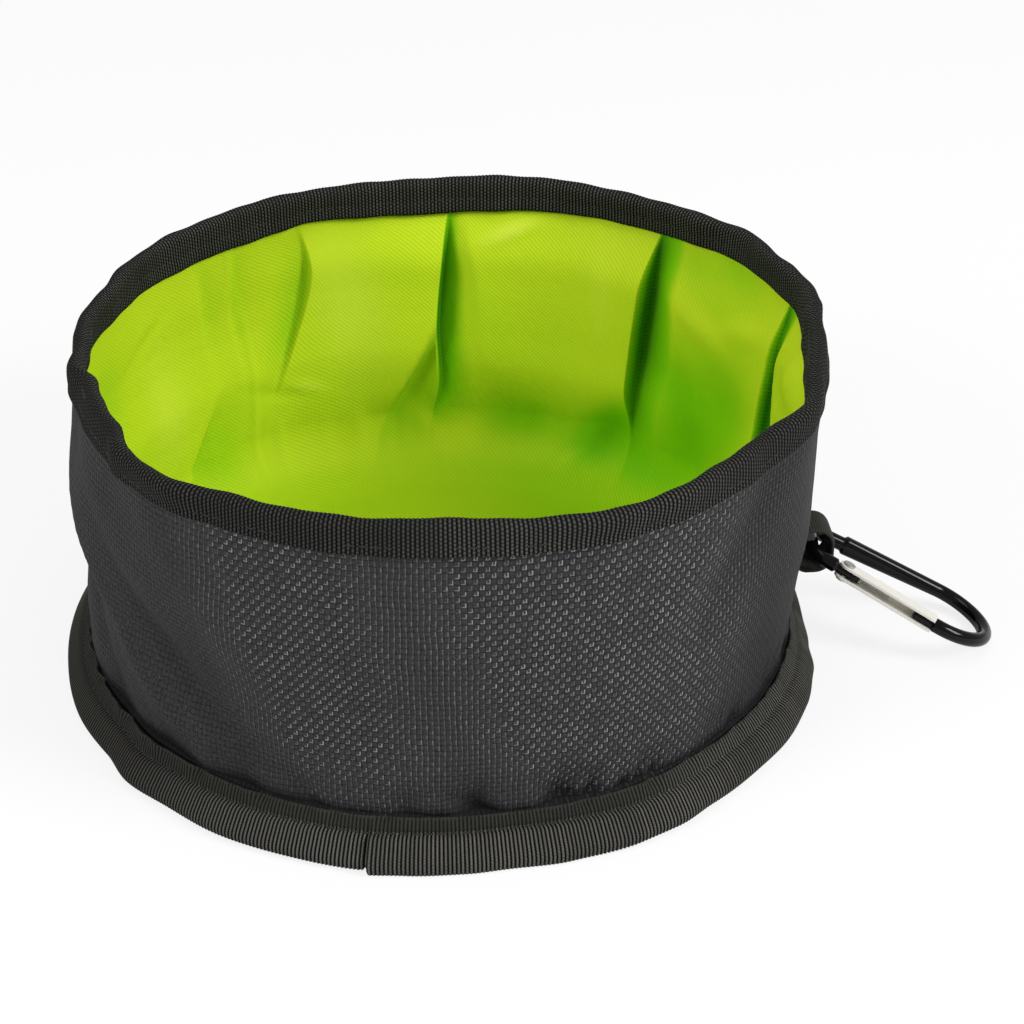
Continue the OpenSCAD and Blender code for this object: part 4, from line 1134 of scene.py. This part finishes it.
phi = np.linspace(0, 2 * math.pi, clip["section"], endpoint=False)
cosP = np.sign(np.cos(phi)) * np.abs(np.cos(phi))[None, :] ** (2 / power[:, None])
sinP = np.sign(np.sin(phi)) * np.abs(np.sin(phi))[None, :] ** (2 / power[:, None])
local = np.zeros((len(path), len(phi), 3))
local[..., :2] = path[:, None] + (halfW[:, None] * cosP)[..., None] * side[:, None]
local[..., 2] = halfH[:, None] * sinP
points = local @ clipTurn.T + np.array(clip["place"])
rows, columns = points.shape[:2]
faces, _, _ = gridFaces(rows, columns, False, True)
ends = points[[0, -1]].mean(1)
ring = np.arange(columns)
after = (ring + 1) % columns
last = (rows - 1) * columns
capA = np.stack([np.full(columns, rows * columns), ring, after], -1)
capB = np.stack([np.full(columns, rows * columns + 1), last + after, last + ring], -1)
clipFrame = putMesh("clipFrame", np.concatenate([points.reshape(-1, 3), ends]), [faces, capA, capB],
                    body="clip", slotName="clip_black", replaces=["clip_frame"])
paint(clipFrame, blackPaint)


def softEdged(name, node, body, material, width):  # merged copy of a CAD node with rounded edges
    copy = nodes[node].data.copy()
    piece = bpy.data.objects.new(name, copy)
    bpy.context.scene.collection.objects.link(piece)
    bm = bmesh.new()
    bm.from_mesh(copy)
    bmesh.ops.remove_doubles(bm, verts=bm.verts, dist=1e-6)
    bmesh.ops.dissolve_limit(bm, angle_limit=math.radians(2), verts=bm.verts, edges=bm.edges)
    bm.to_mesh(copy)
    bm.free()
    bevel = piece.modifiers.new("bevel", "BEVEL")
    bevel.width = width * mm
    bevel.segments = 2
    bevel.limit_method = "ANGLE"
    bevel.angle_limit = math.radians(35)
    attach(piece, body)
    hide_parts(node)
    paint(piece, material)
    return piece


softEdged("clipGate", "clip_gate", "gate", gateMetal, 0.16)
softEdged("gateRivet", "gate_rivet", "clip", smallSteel, 0.1)
softEdged("gateSpring", "gate_spring", "gate", smallSteel, 0.05)
print("clip made")

# the outer wall's and wall lining's placing put into their points

for piece in (outerWall, wallLining):
    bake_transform(piece)

# floor and light

stage = dict(size=3.0, white=0.9, glow=0.8, world=0.42)
floorMesh = bpy.data.meshes.new("floor")
e = stage["size"]
floorMesh.from_pydata([(-e, -e, 0), (e, -e, 0), (e, e, 0), (-e, e, 0)], [], [(0, 1, 2, 3)])
floor = bpy.data.objects.new("floor", floorMesh)
bpy.context.scene.collection.objects.link(floor)
floorPaint, t = makeTree("paleFloor")
path = t.nodes.new("ShaderNodeLightPath")
diffuse = t.nodes.new("ShaderNodeBsdfDiffuse")
diffuse.inputs["Color"].default_value = (stage["white"],) * 3 + (1,)
glow = t.nodes.new("ShaderNodeEmission")
mix = t.nodes.new("ShaderNodeMixShader")
t.links.new(times(t, path.outputs["Is Camera Ray"], stage["glow"]), mix.inputs[0])
t.links.new(diffuse.outputs[0], mix.inputs[1])
t.links.new(glow.outputs[0], mix.inputs[2])
t.links.new(mix.outputs[0], t.nodes.new("ShaderNodeOutputMaterial").inputs["Surface"])
paint(floor, floorPaint)

world = bpy.data.worlds.new("studio")
bpy.context.scene.world = world
world.use_nodes = True
t = world.node_tree
t.nodes.clear()
path = t.nodes.new("ShaderNodeLightPath")
seen = path.outputs["Is Camera Ray"]
sky = t.nodes.new("ShaderNodeBackground")
sky.inputs["Color"].default_value = (1, 1, 1, 1)
t.links.new(calc(t, "MULTIPLY_ADD", seen, 1 - stage["world"], stage["world"]), sky.inputs["Strength"])
t.links.new(sky.outputs[0], t.nodes.new("ShaderNodeOutputWorld").inputs["Surface"])

lamps = dict(right=((0.93, -0.53, 0.75), 0.5, 12.0), left=((-0.93, -0.53, 0.75), 0.5, 7.5),
             above=((0.0, -0.1, 1.3), 0.6, 2.5))
for name, (place, size, power) in lamps.items():
    data = bpy.data.lights.new(name, "AREA")
    data.shape = "SQUARE"
    data.size = size
    data.energy = power
    lamp = bpy.data.objects.new(name, data)
    lamp.location = place
    aim = np.array([0, 0, 0.04]) - np.array(place)
    lean = math.atan2(math.hypot(aim[0], aim[1]), -aim[2])
    lamp.rotation_euler = (lean, 0, math.atan2(aim[1], aim[0]) - math.pi / 2)
    bpy.context.scene.collection.objects.link(lamp)
bpy.context.scene.view_settings.view_transform = "Standard"
print("floor and lamps set")

bpy.context.view_layer.update()
